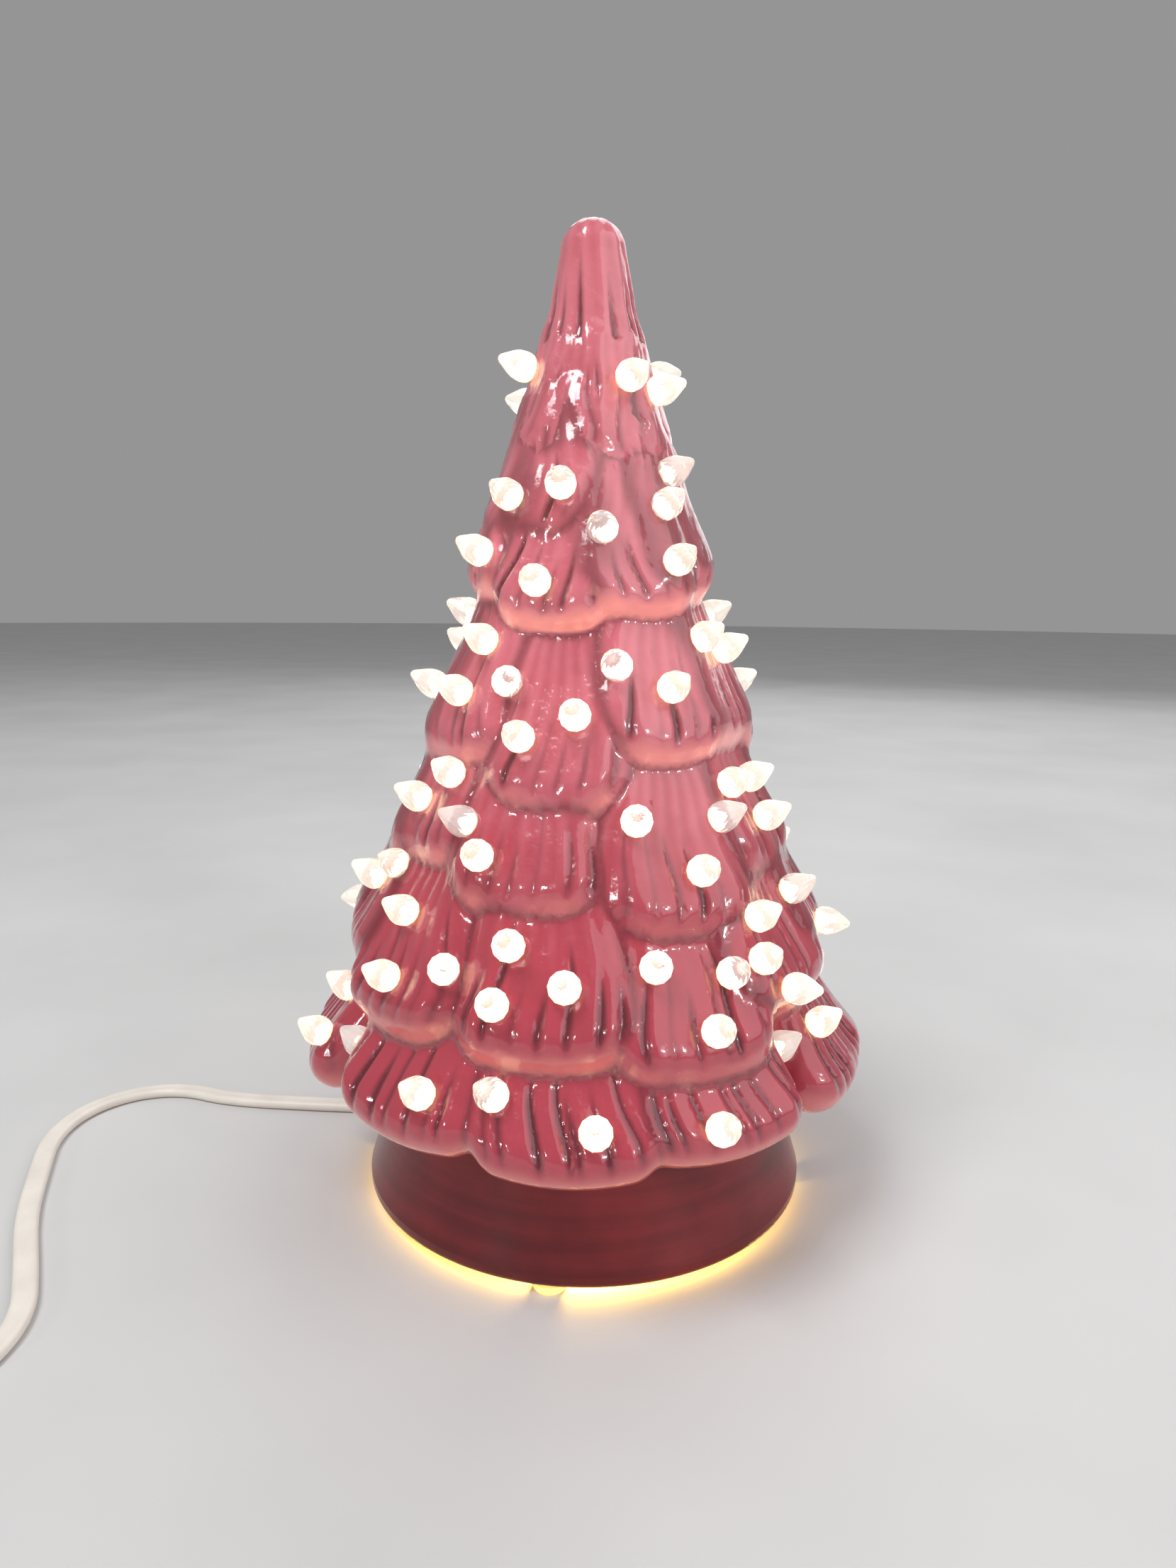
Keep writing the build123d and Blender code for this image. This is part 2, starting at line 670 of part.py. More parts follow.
def coil_tie():
    """Flat strap round all the turns, on the side away from the plug."""
    inner = coil_outer_radius - (coil_turns - 0.5) * coil_pitch - cord_width / 2
    low = inner - tie_width ** 2 / (8 * inner) - tie_clearance
    high = coil_outer_radius - coil_pitch / 2 + cord_width / 2 + tie_clearance
    wide = high - low
    tall = coil_step + cord_thickness + 2 * tie_clearance
    right = switch_heading.cross(Vector(0, 0, 1))
    centre = coil_start + switch_heading * (cord_width - (low + high) / 2) + right * (
        coil_outer_radius + coil_pitch / 2)
    loop = RectangleRounded(wide + 2 * tie_thickness, tall + 2 * tie_thickness, 2 * tie_thickness)
    loop -= RectangleRounded(wide, tall, tie_thickness)
    place = Plane(Vector(centre.X, centre.Y, tall / 2 + tie_thickness), x_dir=switch_heading, z_dir=right)
    return place * extrude(loop, tie_width / 2, both=True)


def plug_place(tail, heading):
    """Frame of the plug: Z along the cord's heading from the cord's end, X level."""
    return Plane(tail, x_dir=heading.cross(Vector(0, 0, 1)), z_dir=heading)


def plug_blades():
    """Two flat blades with rounded ends."""
    blade = Box(blade_thickness, blade_width, blade_length + blade_root)
    blade = chamfer(blade.edges().group_by(Axis.Z)[-1], blade_edge)
    middle = plug_length + (blade_length - blade_root) / 2
    return [Pos(side * blade_spacing / 2, 0, middle) * blade for side in (-1, 1)]


def plug_body(thickness):
    """Moulded plug that tapers to the cord."""
    grown = 2 * plug_neck_wall
    neck = RectangleRounded(cord_width + grown, cord_thickness + grown, plug_neck_wall)
    wide = RectangleRounded(plug_width, thickness, plug_corner)
    nose = loft([neck, Pos(0, 0, plug_nose) * wide])
    grip = Pos(0, 0, plug_nose) * extrude(wide, plug_length - plug_nose)
    body = nose + grip
    slot = Box(blade_thickness + 2 * fit_gap, blade_width + 2 * fit_gap, 2 * blade_root)
    for side in (-1, 1):
        body -= Pos(side * blade_spacing / 2, 0, plug_length) * slot
    return body


def build_tree():
    """The halves of the hollow tree shell with its peg holes, and the pegs of each tier."""
    body = tree_body()
    seats = {tier.name: peg_seats(body, tier) for tier in TIERS}
    cutter = peg_hole()
    holes = [seat * cutter for places in seats.values() for seat in places]
    shell = body - tree_cavity()
    shell = shell.cut(*holes)
    light = peg()
    pegs = {"pegs_" + name: [seat * light for seat in places] for name, places in seats.items()}
    return {**shell_halves(shell), **pegs}


def build():
    """All sub-parts by name."""
    parts = build_tree()
    parts["base_ring"] = base_ring()
    parts["bumper_feet"] = bumper_feet()
    parts["socket_body"] = socket_body()
    parts["socket_shell"] = socket_shell()
    parts["socket_contact"] = socket_contact()
    parts["socket_clip"] = socket_clip()
    parts["bulb_foot"] = bulb_foot()
    parts["bulb_insulator"] = bulb_insulator()
    parts["bulb_shell"] = bulb_shell()
    parts["bulb_glass"] = bulb_glass()
    parts["bulb_stem"] = bulb_stem()
    parts["bulb_filament"] = bulb_filament()
    parts["cord_lead"] = cord_tube(cord_path(LEAD, "cord_lead"), "cord_lead")
    parts["cord_link"] = cord_tube(cord_path(LINK, "cord_link"), "cord_link")
    names = ("switch_case_lower", "switch_case_upper", "switch_screw", "switch_wheel")
    parts.update(zip(names, switch_parts()))
    path, tail, heading = coil_path()
    parts["cord_coil"] = cord_tube(path, "cord_coil")
    print("cord_coil least gap to itself", round(coil_self_gap(path), 2))
    parts["coil_tie"] = coil_tie()
    place = plug_place(tail, heading)
    parts["plug_body"] = place * plug_body(2 * coil_high)
    parts["plug_blades"] = [place * blade for blade in plug_blades()]
    return parts


os.makedirs("parts", exist_ok=True)
for node, shape in build().items():
    solids = shape if isinstance(shape, list) else shape.solids()
    export_step(Compound(children=list(solids)) if len(solids) > 1 else solids[0], f"parts/{node}.step")
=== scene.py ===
"""Lit ceramic Christmas tree: the finish of every piece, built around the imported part.

Metres, +Z up, the front towards -Y. An azimuth is counted from the front, positive towards +X.
The forms of the boughs are worked out in millimetres.
"""
from collections import namedtuple
from math import cos, pi, radians, sin

import bmesh
import bpy
import numpy as np
import openvdb
from bpy.props import FloatProperty, FloatVectorProperty, IntProperty, PointerProperty
from mathutils import Matrix, Vector


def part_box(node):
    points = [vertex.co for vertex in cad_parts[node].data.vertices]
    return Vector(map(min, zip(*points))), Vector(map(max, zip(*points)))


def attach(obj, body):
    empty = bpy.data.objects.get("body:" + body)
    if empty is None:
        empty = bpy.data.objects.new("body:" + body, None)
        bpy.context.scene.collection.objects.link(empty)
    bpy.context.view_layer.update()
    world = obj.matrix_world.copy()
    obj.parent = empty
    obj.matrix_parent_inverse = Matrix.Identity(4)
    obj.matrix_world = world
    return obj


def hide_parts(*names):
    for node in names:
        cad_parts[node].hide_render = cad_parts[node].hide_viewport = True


bl_info = {
    "name": "Lit Ceramic Tree",
    "version": (1, 0, 0),
    "blender": (4, 5, 0),
    "location": "View3D > Sidebar > Ceramic Tree",
    "description": "Finishes a lit ceramic Christmas tree around its packed model",
    "category": "Add Mesh",
}

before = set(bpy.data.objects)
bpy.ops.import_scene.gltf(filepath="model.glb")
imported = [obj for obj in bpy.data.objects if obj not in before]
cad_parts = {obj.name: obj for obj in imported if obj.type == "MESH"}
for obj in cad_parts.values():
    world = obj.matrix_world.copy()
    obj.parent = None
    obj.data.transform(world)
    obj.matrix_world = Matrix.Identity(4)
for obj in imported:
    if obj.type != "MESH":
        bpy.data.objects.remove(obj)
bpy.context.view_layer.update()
MM = 0.001

# Camera of the photograph, fitted in a frame 1659 by 2212
PHOTO_HEIGHT = 2212
FOCAL_PIXELS = 1450.9
CAMERA_PLACE = (0.0, -0.2705, 0.1582)
CAMERA_PITCH = 0.179
CAMERA_ROLL = 0.01
SENSOR = 36.0

# Boughs of the front half, in millimetres and degrees: lips are (azimuth, height above the foot)
Tier = namedtuple("Tier", "half_width half_depth tilt rise glow lips")
TIERS = [
    Tier(9.0, 5.0, 14.0, 24.0, 1.0, [(-66, 160), (-22, 158), (31, 158), (70, 162)]),
    Tier(13.5, 7.0, 22.0, 26.0, 1.0, [(-38, 138), (-72, 126), (-18, 119), (26, 122), (56, 125), (88, 129)]),
    Tier(15.0, 8.0, 27.0, 30.0, 0.75, [(-56, 86), (-10, 77), (30, 88), (66, 90), (96, 85)]),
    Tier(17.5, 8.5, 29.0, 32.0, 0.9, [(-60, 61), (-19, 54), (26, 49), (64, 58), (94, 57)]),
    Tier(19.0, 8.5, 32.0, 33.0, 0.6, [(-78, 33), (-48, 25), (-9, 24.5), (25, 20.5), (52, 30), (80, 37)]),
    Tier(20.0, 7.0, 38.0, 32.0, 0.35, [(-82, 2), (-38, 5), (-4, 3), (28, 5), (68, 4)]),
]
# The trunk's cone and how far the boughs' lips reach, as (radius, height above the foot)
TRUNK = [(55.0, 0.0), (43.0, 54.0), (33.0, 82.0), (24.0, 118.0), (15.0, 160.0), (11.8, 184.0), (9.2, 201.0)]
REACH = [(75.0, 0.0), (64.0, 30.0), (50.0, 60.0), (41.0, 90.0), (31.0, 124.0), (19.0, 160.0), (18.33, 162.0)]
# The tip's ball, and the heights over which the strands of the bare cone set in
CROWN_TIP = 7.2
CROWN_FROM = (150.0, 172.0)
# A bough's leaf: its thickness, its share of width at the top, and what the hand-made form adds to it
LEAF = 0.6
LEAF_TOP = 0.6
FULLNESS = 1.5
LIP_SAG = 4.0
SAG_LIMIT = 1.2
WAVER = 0.7
WAVER_LENGTH = 5.0
# Boughs of the crown are thinner than this half depth, have no pocket and taper to a share at the top
HOLLOW_FROM = 5.4
CROWN_TAPER = 0.5
POCKET_SHARE = 0.7
# Fillet of a bough's upper part with the trunk, on boughs whose half depth is from none to full here
ROOT_FILLET = 10.0
ROOT_SHARE = 0.75
FILLET_DEPTHS = (4.0, 8.0)
HEM_FILLET = 1.5
# Room round the boughs, half the width of the grid, and the steps that its distances are kept for
BOUGH_MARGIN = 6.0
GRID_HALF = 84.0
BAND = 4
SHELL_NODES = ["tree_shell_front", "tree_shell_back"]
FOOT = 1000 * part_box("tree_shell_front")[0].z
TIP = 1000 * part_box("tree_shell_front")[1].z

# Distances in metres within which the corners of a turned form and of a CAD mesh are merged
TURNED_WELD = 0.00001
CAD_WELD = 0.000002

# Cord route in millimetres, as it lies
CORD_WIDTH = 5.5
CORD_THICKNESS = 2.8
CORD_LOW = CORD_THICKNESS / 2
CORD_EXIT_AZIMUTH = -115.0
SWITCH_IN = Vector((-166, -105.8, 5.4))
SWITCH_HEADING = Vector((-1, 0.12, 0)).normalized()
SWITCH_LENGTH = 46.0
SWITCH_SEAT = 8.0
COIL_LOW = 2.3
COIL_STEP = 3.3
COIL_RADIUS = 40.5
COIL_PITCH = 6.0
COIL_TURNS = 4
COIL_TAIL = 34.0
ARC_POINTS = 12

# Strands: their number and length on the bare cone, and the share of their spread at a bough's top
CROWN_STRANDS = 12
CROWN_LENGTH = 60.0
FAN_TOP = 0.45
# Waves of the strands: height, turns along the bough, and how far each bough's own number shifts them
WAVES = ((0.28, 2.4, 6.28), (0.10, 7.0, 9.0))
# Grooves, in shares of a strand and of a bough's length: each is drawn from its own random numbers
GROOVE_SLOTS = 64
GROOVE_SHIFT = 0.5
GROOVE_BEND = 0.3
GROOVE_WIDTH = (0.12, 0.07)
GROOVE_LEAST = 0.3
CROWN_BEGIN = (0.03, 0.12)
BOUGH_BEGIN = (0.2, 0.45)
GROOVE_FADE = 0.35
LIP_FADE = (1.17, 1.06)
RIDGE_FADE = (1.1, 0.9)
FACE_FROM = (-0.2, 0.35)
# Pooled glaze and painted shade between boughs within this many millimetres, and its share on the crown
CREASE_REACH = 2.4
CROWN_CREASE = 0.25
# Depths in shares of the wall between which the inside ends and the outside begins
OUTSIDE_FROM = (0.7, 0.35)
# Heights in metres over which painted light makes the glaze lighter towards the crown
PAINTED_LIGHT_HEIGHTS = (0.05, 0.15)
# Light on the trunk between the boughs, and the slants of a surface that faces down
TRUNK_GLOW = 0.5
UNDERSIDE = (0.1, -0.6)
# A place inside the shell, which its faces look away from
MIDDLE = (0.0, 0.0, 130.0)


class TreeSettings(bpy.types.PropertyGroup):
    """Sizes and colours of the ceramic pieces."""

    wall: FloatProperty(name="Wall", description="Thickness of the cast shell", default=0.0045, unit="LENGTH")
    crease: FloatProperty(name="Crease", description="Reach of the fillet where boughs meet",
                          default=0.0034, unit="LENGTH")
    step: FloatProperty(name="Step", description="Grid step of the shell", default=0.0007, unit="LENGTH")
    swell: FloatProperty(name="Swell", description="Rise of the strands between the grooves",
                         default=0.00030, unit="LENGTH")
    strand: FloatProperty(name="Strand", description="Width of one strand of needles",
                          default=0.0058, unit="LENGTH")
    groove: FloatProperty(name="Groove", description="Depth of the grooves between strands",
                          default=0.0012, unit="LENGTH")
    triangles: IntProperty(name="Triangles", description="Triangles kept in the shell", default=190000)
    seed: IntProperty(name="Seed", description="Seed of the strands", default=7)
    glaze: FloatVectorProperty(name="Glaze", description="Body of the glaze", subtype="COLOR",
                               default=(0.43, 0.048, 0.074))
    # Ridge colour: glaze run thin over the ridges, and also the painted light that the glaze is lightened to near
    # the crown
    ridge: FloatVectorProperty(name="Ridge", description="Glaze run thin over the ridges", subtype="COLOR",
                               default=(0.70, 0.190, 0.240))
    # Pool colour: glaze pooled in the grooves, and in the creases between boughs also painted shade
    pool: FloatVectorProperty(name="Pool", description="Glaze pooled in grooves and creases", subtype="COLOR",
                              default=(0.12, 0.012, 0.022))
    glow: FloatVectorProperty(name="Glow", description="Light through the thin undersides", subtype="COLOR",
                              default=(0.76, 0.235, 0.195))
    # Base colour: the base's darker mauve glaze, darkened further by painted shade
    base: FloatVectorProperty(name="Base", description="Glaze of the lamp base", subtype="COLOR",
                              default=(0.10, 0.008, 0.010))


class LampSettings(bpy.types.PropertyGroup):
    """Light of the bulb and the pegs."""

    root: FloatVectorProperty(name="Root", description="Light at the root of a peg", subtype="COLOR",
                              default=(1.0, 0.70, 0.22))
    tip: FloatVectorProperty(name="Tip", description="Light in the head of a peg", subtype="COLOR",
                             default=(1.0, 0.95, 0.88))
    peg_strength: FloatProperty(name="Peg strength", description="Brightness of the pegs", default=0.13)
    core_strength: FloatProperty(name="Core strength", description="Brightness inside the pegs", default=1.9)
    bulb: FloatVectorProperty(name="Bulb", description="Colour of the filament's light", subtype="COLOR",
                              default=(1.0, 0.70, 0.30))
    bulb_strength: FloatProperty(name="Bulb strength", description="Brightness of the filament", default=30.0)


class Value:
    """One output of a shader node; arithmetic on it adds Math nodes."""

    def __init__(self, node, output=0):
        self.node = node
        self.socket = node.outputs[output]

    def out(self, output):
        return Value(self.node, output)

    def maths(self, operation, other):
        return add_node(self.node.id_data, "ShaderNodeMath", {"operation": operation}, {0: self, 1: other})

    def __add__(self, other):
        return self.maths("ADD", other)

    def __mul__(self, other):
        return self.maths("MULTIPLY", other)

    __radd__ = __add__
    __rmul__ = __mul__


def add_node(tree, kind, settings=None, inputs=None):
    """A node with its settings, and then its sockets' values or links."""
    node = tree.nodes.new(kind)
    for name, setting in (settings or {}).items():
        setattr(node, name, setting)
    for socket, value in (inputs or {}).items():
        if isinstance(value, Value):
            tree.links.new(value.socket, node.inputs[socket])
        else:
            node.inputs[socket].default_value = value
    return Value(node)


class Finish:
    """A material under construction round its Principled shader."""

    def __init__(self, name, **constants):
        self.material = bpy.data.materials.new(name)
        self.material.use_nodes = True
        self.tree = self.material.node_tree
        self.shader = self.tree.nodes["Principled BSDF"]
        for socket, value in constants.items():
            self.set(socket.replace("_", " ").title().replace("Ior", "IOR"), value)

    def set(self, socket, value):
        """Constant or link of one socket of the shader."""
        if isinstance(value, Value):
            self.tree.links.new(value.socket, self.shader.inputs[socket])
        elif isinstance(value, (tuple, list)) and len(value) == 3:
            self.shader.inputs[socket].default_value = (*value, 1.0)
        else:
            self.shader.inputs[socket].default_value = value

    def node(self, kind, settings=None, inputs=None):
        return add_node(self.tree, kind, settings, inputs)

    def attribute(self, name):
        """Number kept on the piece's own points."""
        return self.node("ShaderNodeAttribute", {"attribute_name": name}).out("Fac")

    def place(self):
        """Place on the piece, in metres."""
        return self.node("ShaderNodeTexCoord").out("Object")

    def noise(self, scale, detail=3.0, stretch=(1, 1, 1)):
        """Noise of a scale in features a metre, drawn out along the axes."""
        vector = self.node("ShaderNodeMapping", None, {"Vector": self.place(), "Scale": stretch})
        return self.node("ShaderNodeTexNoise", None, {"Vector": vector, "Scale": scale, "Detail": detail})

    def between(self, value, low, high):
        """Smooth step of a value from 0 at low to 1 at high."""
        return self.node("ShaderNodeMapRange", {"interpolation_type": "SMOOTHSTEP"},
                         {"Value": value, "From Min": low, "From Max": high})

    def mix(self, factor, first, second):
        """Colour between two colours."""
        colours = {0: factor}
        for index, colour in ((6, first), (7, second)):
            colours[index] = colour if isinstance(colour, Value) else (*colour, 1.0)
        return self.node("ShaderNodeMix", {"data_type": "RGBA"}, colours).out(2)

    def bump(self, height, distance, strength=1.0):
        """Relief of a height in metres of distance, on the shader's normal."""
        relief = self.node("ShaderNodeBump", None,
                           {"Height": height, "Distance": distance, "Strength": strength})
        self.set("Normal", relief)


def compass(azimuth):
    """Unit vector on the surface towards an azimuth counted from the front."""
    return np.array([sin(radians(azimuth)), -cos(radians(azimuth)), 0.0])


def smooth_step(low, high, value):
    """Smooth rise of values from 0 at low to 1 at high."""
    share = np.clip((value - low) / (high - low), 0, 1)
    return share * share * (3 - 2 * share)


def smooth_min(first, second, reach):
    """Least of two distances, filleted over a reach."""
    blend = np.maximum(reach - np.abs(first - second), 0) / reach
    return np.minimum(first, second) - blend * blend * reach / 4


class Bough:
    """Drooping bough: a thin leaf, narrow above and wide at its lip, grown all round by its half depth."""

    def __init__(self, tier, azimuth, lip):
        tilt = radians(tier.tilt)
        out = compass(azimuth)
        up = np.array([0.0, 0.0, 1.0])
        reach = np.interp(lip, [z for _, z in REACH], [r for r, _ in REACH])
        self.end = out * (reach - tier.half_depth) + up * (FOOT + lip + tier.half_depth)
        self.axis = out * sin(tilt) - up * cos(tilt)
        self.side = np.cross(out, up)
        self.face = np.cross(self.side, self.axis)
        self.length = tier.rise / cos(tilt)
        self.top = self.end - self.axis * self.length
        self.wide = tier.half_width + FULLNESS
        self.deep = tier.half_depth
        self.crown = tier.half_depth < HOLLOW_FROM
        self.top_deep = tier.half_depth * (CROWN_TAPER if self.crown else 1.0)
        self.glow = tier.glow
        self.half = self.wide - tier.half_depth
        self.top_half = LEAF_TOP * self.half

    def local(self, points):
        """Places across the bough, through it towards its face, and along it from its top.

        The lip hangs lower in its middle than at its sides, and the sides waver a little.
        """
        away = points - self.top
        along = away @ self.axis
        across = away @ self.side + WAVER * np.sin(along / WAVER_LENGTH + self.length * self.end[0])
        hang = LIP_SAG * np.clip(along / self.length, 0, 1) * np.minimum((across / self.wide) ** 2, SAG_LIMIT)
        return across, away @ self.face, along + hang

    def distance(self, points, inset=0.0):
        """Distance of points to the bough's surface, drawn in by an inset."""
        across, through, along = self.local(points)
        across = np.abs(across)
        deep = self.top_deep + (self.deep - self.top_deep) * np.clip(along / self.length, 0, 1)
        lean = self.half - self.top_half
        proud = across - self.top_half
        share = np.clip((proud * lean + along * self.length) / (lean ** 2 + self.length ** 2), 0, 1)
        flank = np.hypot(proud - share * lean, along - share * self.length)
        outside = (proud * self.length > along * lean) | (along < 0) | (along > self.length)
        beside = np.where(outside, flank, 0.0)
        beside = np.where((along < 0) & (proud < 0), -along, beside)
        beside = np.where((along > self.length) & (across < self.half), along - self.length, beside)
        return np.hypot(beside, np.maximum(np.abs(through) - LEAF / 2, 0)) - deep + inset


BOUGHS = [Bough(tier, azimuth, lip) for tier in TIERS for azimuth, lip in tier.lips]


def trunk_distance(radius, height, inset=0.0):
    """About the distance to the trunk's cone, from a radius and a height above its foot."""
    ball = CROWN_TIP - inset
    shoulder = TIP - FOOT - CROWN_TIP
    line = TRUNK + [(CROWN_TIP, shoulder)]
    girth = np.interp(height, [z for _, z in line], [r for r, _ in line])
    slope = np.interp(height, [z for _, z in line][:-1],
                      [(a[0] - b[0]) / (b[1] - a[1]) for a, b in zip(line, line[1:])])
    side = (radius - girth + inset) / np.sqrt(1 + slope * slope)
    cap = np.hypot(radius, np.maximum(height - shoulder, 0)) - ball
    return np.where(height > shoulder, cap, side)


def shell_field(step, wall, crease):
    """Distances to the hollow shell on a grid, with the grid's lowest corner, in millimetres."""
    half = int(GRID_HALF / step) + 1
    x = (np.arange(2 * half + 1) - half) * step
    z = np.arange(FOOT - BAND * step, TIP + (BAND + 1) * step, step)
    radius = np.hypot(x[:, None, None], x[None, :, None])
    height = (z - FOOT)[None, None, :]

    def solid(inset, fillet):
        stem = trunk_distance(radius, height, inset).astype(np.float32)
        field = stem.copy()
        for bough in BOUGHS:
            if inset and bough.crown:
                continue
            drawn_in = bough.deep - POCKET_SHARE * (bough.deep - inset) if inset else 0.0
            low = np.minimum(bough.top, bough.end) - bough.wide - BOUGH_MARGIN
            high = np.maximum(bough.top, bough.end) + bough.wide + BOUGH_MARGIN
            ranges = [slice(*np.searchsorted(axis, (low[i], high[i]))) for i, axis in enumerate((x, x, z))]
            block = np.stack(np.meshgrid(x[ranges[0]], x[ranges[1]], z[ranges[2]], indexing="ij"), -1)
            near = bough.distance(block, drawn_in).astype(np.float32)
            root = smooth_step(ROOT_SHARE * bough.length, 0.0, bough.local(block)[2])
            root *= smooth_step(*FILLET_DEPTHS, bough.deep)
            grown = smooth_min(stem[tuple(ranges)], near, fillet + ROOT_FILLET * root)
            field[tuple(ranges)] = np.minimum(smooth_min(field[tuple(ranges)], near, fillet), grown)
        return smooth_min(field, field[::-1, ::-1, :], fillet)

    outer = solid(0.0, crease)
    inner = solid(wall, crease)
    hem = np.broadcast_to((-height).astype(np.float32), outer.shape)
    shell = -smooth_min(-outer, -np.maximum(-inner, hem), HEM_FILLET)
    return shell, np.array([x[0], x[0], z[0]])


def needle_places(points, settings):
    """Groove, ridge, crease, glow and outer share at points of the shell, by the nearest bough."""
    count = len(points)
    height = points[:, 2] - FOOT
    nearest = trunk_distance(np.hypot(points[:, 0], points[:, 1]), height)
    second = np.full(count, np.inf)
    owner = np.full(count, 2 * len(BOUGHS))
    share = np.arctan2(points[:, 0], -points[:, 1]) / pi * CROWN_STRANDS / 2
    along = (TIP - points[:, 2]) / CROWN_LENGTH
    facing = smooth_step(*CROWN_FROM, height)
    glow = np.full(count, TRUNK_GLOW)
    turned = points * np.array([-1.0, -1.0, 1.0])
    for index in range(2 * len(BOUGHS)):
        bough = BOUGHS[index % len(BOUGHS)]
        seen = points if index < len(BOUGHS) else turned
        close = np.flatnonzero(np.linalg.norm(seen - (bough.top + bough.end) / 2, axis=1)
                               < bough.length / 2 + bough.wide + BOUGH_MARGIN)
        near = bough.distance(seen[close])
        best = near < nearest[close]
        second[close] = np.minimum(second[close], np.where(best, nearest[close], near))
        won = close[best]
        nearest[won] = near[best]
        owner[won] = index
        across, through, down = bough.local(seen[won])
        fan = FAN_TOP + (1 - FAN_TOP) * np.clip(down / bough.length, 0, 1)
        share[won] = across / fan / (settings.strand / MM)
        along[won] = down / bough.length
        facing[won] = smooth_step(*FACE_FROM, through / bough.deep)
        glow[won] = bough.glow
    draw = np.random.default_rng(settings.seed)
    numbers = draw.random((4, 2 * len(BOUGHS) + 1, GROOVE_SLOTS))
    own = draw.random(2 * len(BOUGHS) + 1)[owner]
    wave = sum(high * np.sin(turns * along + apart * own) for high, turns, apart in WAVES)
    phase = share + wave + own
    line = np.round(phase).astype(int)
    shift, strength, start, bend = numbers[:, owner, line % GROOVE_SLOTS]
    offset = phase - line - GROOVE_SHIFT * (shift - 0.5) - GROOVE_BEND * (bend - 0.5) * along
    crown = np.array([bough.crown for bough in BOUGHS] * 2 + [True])[owner]
    begin = np.where(crown, CROWN_BEGIN[0] + CROWN_BEGIN[1] * start, BOUGH_BEGIN[0] + BOUGH_BEGIN[1] * start)
    width = GROOVE_WIDTH[0] + GROOVE_WIDTH[1] * np.clip(along, 0, RIDGE_FADE[0])
    groove = np.exp(-(offset / width) ** 2) * (GROOVE_LEAST + (1 - GROOVE_LEAST) * strength)
    groove *= smooth_step(begin, begin + GROOVE_FADE, along) * smooth_step(*LIP_FADE, along) * facing
    ridge = 0.5 - 0.5 * np.cos(2 * pi * (phase + 0.5)) * facing * smooth_step(*RIDGE_FADE, along)
    # Crease: darker where boughs meet, partly pooled glaze and partly painted shade
    crease = (1 - smooth_step(0.0, CREASE_REACH, second - nearest)) * np.where(crown, CROWN_CREASE, 1.0)
    depth = settings.wall / MM
    outside = smooth_step(-depth * OUTSIDE_FROM[0], -depth * OUTSIDE_FROM[1], nearest)
    return {"groove": groove * (1 - crease) * outside, "ridge": ridge, "crease": crease * outside,
            "glow": glow, "outside": outside}


def mesh_of(name, points, faces):
    """Mesh of points in metres and faces."""
    mesh = bpy.data.meshes.new(name)
    mesh.from_pydata(points, [], faces)
    mesh.validate()
    return mesh


def keep_attributes(mesh, values):
    """Numbers on a mesh's points, by name."""
    for name, numbers in values.items():
        layer = mesh.attributes.new(name, "FLOAT", "POINT")
        layer.data.foreach_set("value", np.ascontiguousarray(numbers, np.float32))


def points_of(mesh):
    """Places of a mesh's points, one row each."""
    flat = np.empty(3 * len(mesh.vertices))
    mesh.vertices.foreach_get("co", flat)
    return flat.reshape(-1, 3)


def normals_of(mesh):
    """Normals at a mesh's points, one row each."""
    flat = np.empty(3 * len(mesh.vertices), np.float32)
    mesh.vertex_normals.foreach_get("vector", flat)
    return flat.reshape(-1, 3).astype(float)


def new_piece(name, data, material, body, slot, *nodes):
    """Object at the origin that rides on a body, takes a finish and stands for CAD nodes; its slot is not used."""
    piece = bpy.data.objects.new(name, data)
    bpy.context.scene.collection.objects.link(piece)
    if material:
        data.materials.clear()
        data.materials.append(material)
    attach(piece, body)
    if nodes:
        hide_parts(*nodes)
    return piece


def finished_mesh(piece):
    """Plain mesh of an object with its modifiers applied."""
    bpy.context.view_layer.update()
    graph = bpy.context.evaluated_depsgraph_get()
    return bpy.data.meshes.new_from_object(piece.evaluated_get(graph), depsgraph=graph)


def with_modifiers(name, mesh, *modifiers):
    """Mesh after modifiers, each a type and its settings, on an object that is then removed."""
    form = bpy.data.objects.new(name, mesh)
    bpy.context.scene.collection.objects.link(form)
    for kind, settings in modifiers:
        modifier = form.modifiers.new(kind.title(), kind)
        for key, value in settings.items():
            setattr(modifier, key, value)
    made = finished_mesh(form)
    bpy.data.objects.remove(form)
    return made


def spun(name, outline, segments):
    """Mesh of an outline in (radius, height) millimetres turned about Z, closed where it meets the axis."""
    form = bmesh.new()
    verts = [form.verts.new((r * MM, 0, z * MM)) for r, z in outline]
    edges = [form.edges.new(pair) for pair in zip(verts, verts[1:])]
    bmesh.ops.spin(form, geom=verts + edges, cent=(0, 0, 0), axis=(0, 0, 1), angle=2 * pi, steps=segments)
    bmesh.ops.remove_doubles(form, verts=form.verts, dist=TURNED_WELD)
    bmesh.ops.recalc_face_normals(form, faces=form.faces)
    mesh = bpy.data.meshes.new(name)
    form.to_mesh(mesh)
    form.free()
    mesh.shade_smooth()
    return mesh


def islands(node):
    """Corner points of each separate solid of a CAD node, in metres."""
    form = bmesh.new()
    form.from_mesh(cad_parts[node].data)
    bmesh.ops.remove_doubles(form, verts=form.verts, dist=CAD_WELD)
    seen = set()
    groups = []
    for first in form.verts:
        if first in seen:
            continue
        seen.add(first)
        waiting = [first]
        group = []
        while waiting:
            vert = waiting.pop()
            group.append(tuple(vert.co))
            for edge in vert.link_edges:
                other = edge.other_vert(vert)
                if other not in seen:
                    seen.add(other)
                    waiting.append(other)
        groups.append(np.array(group))
    form.free()
    return groups


PEG_NODES = ["pegs_crown", "pegs_upper", "pegs_middle", "pegs_lower", "pegs_wide", "pegs_skirt"]
PEG_HEAD = 9.2 * MM
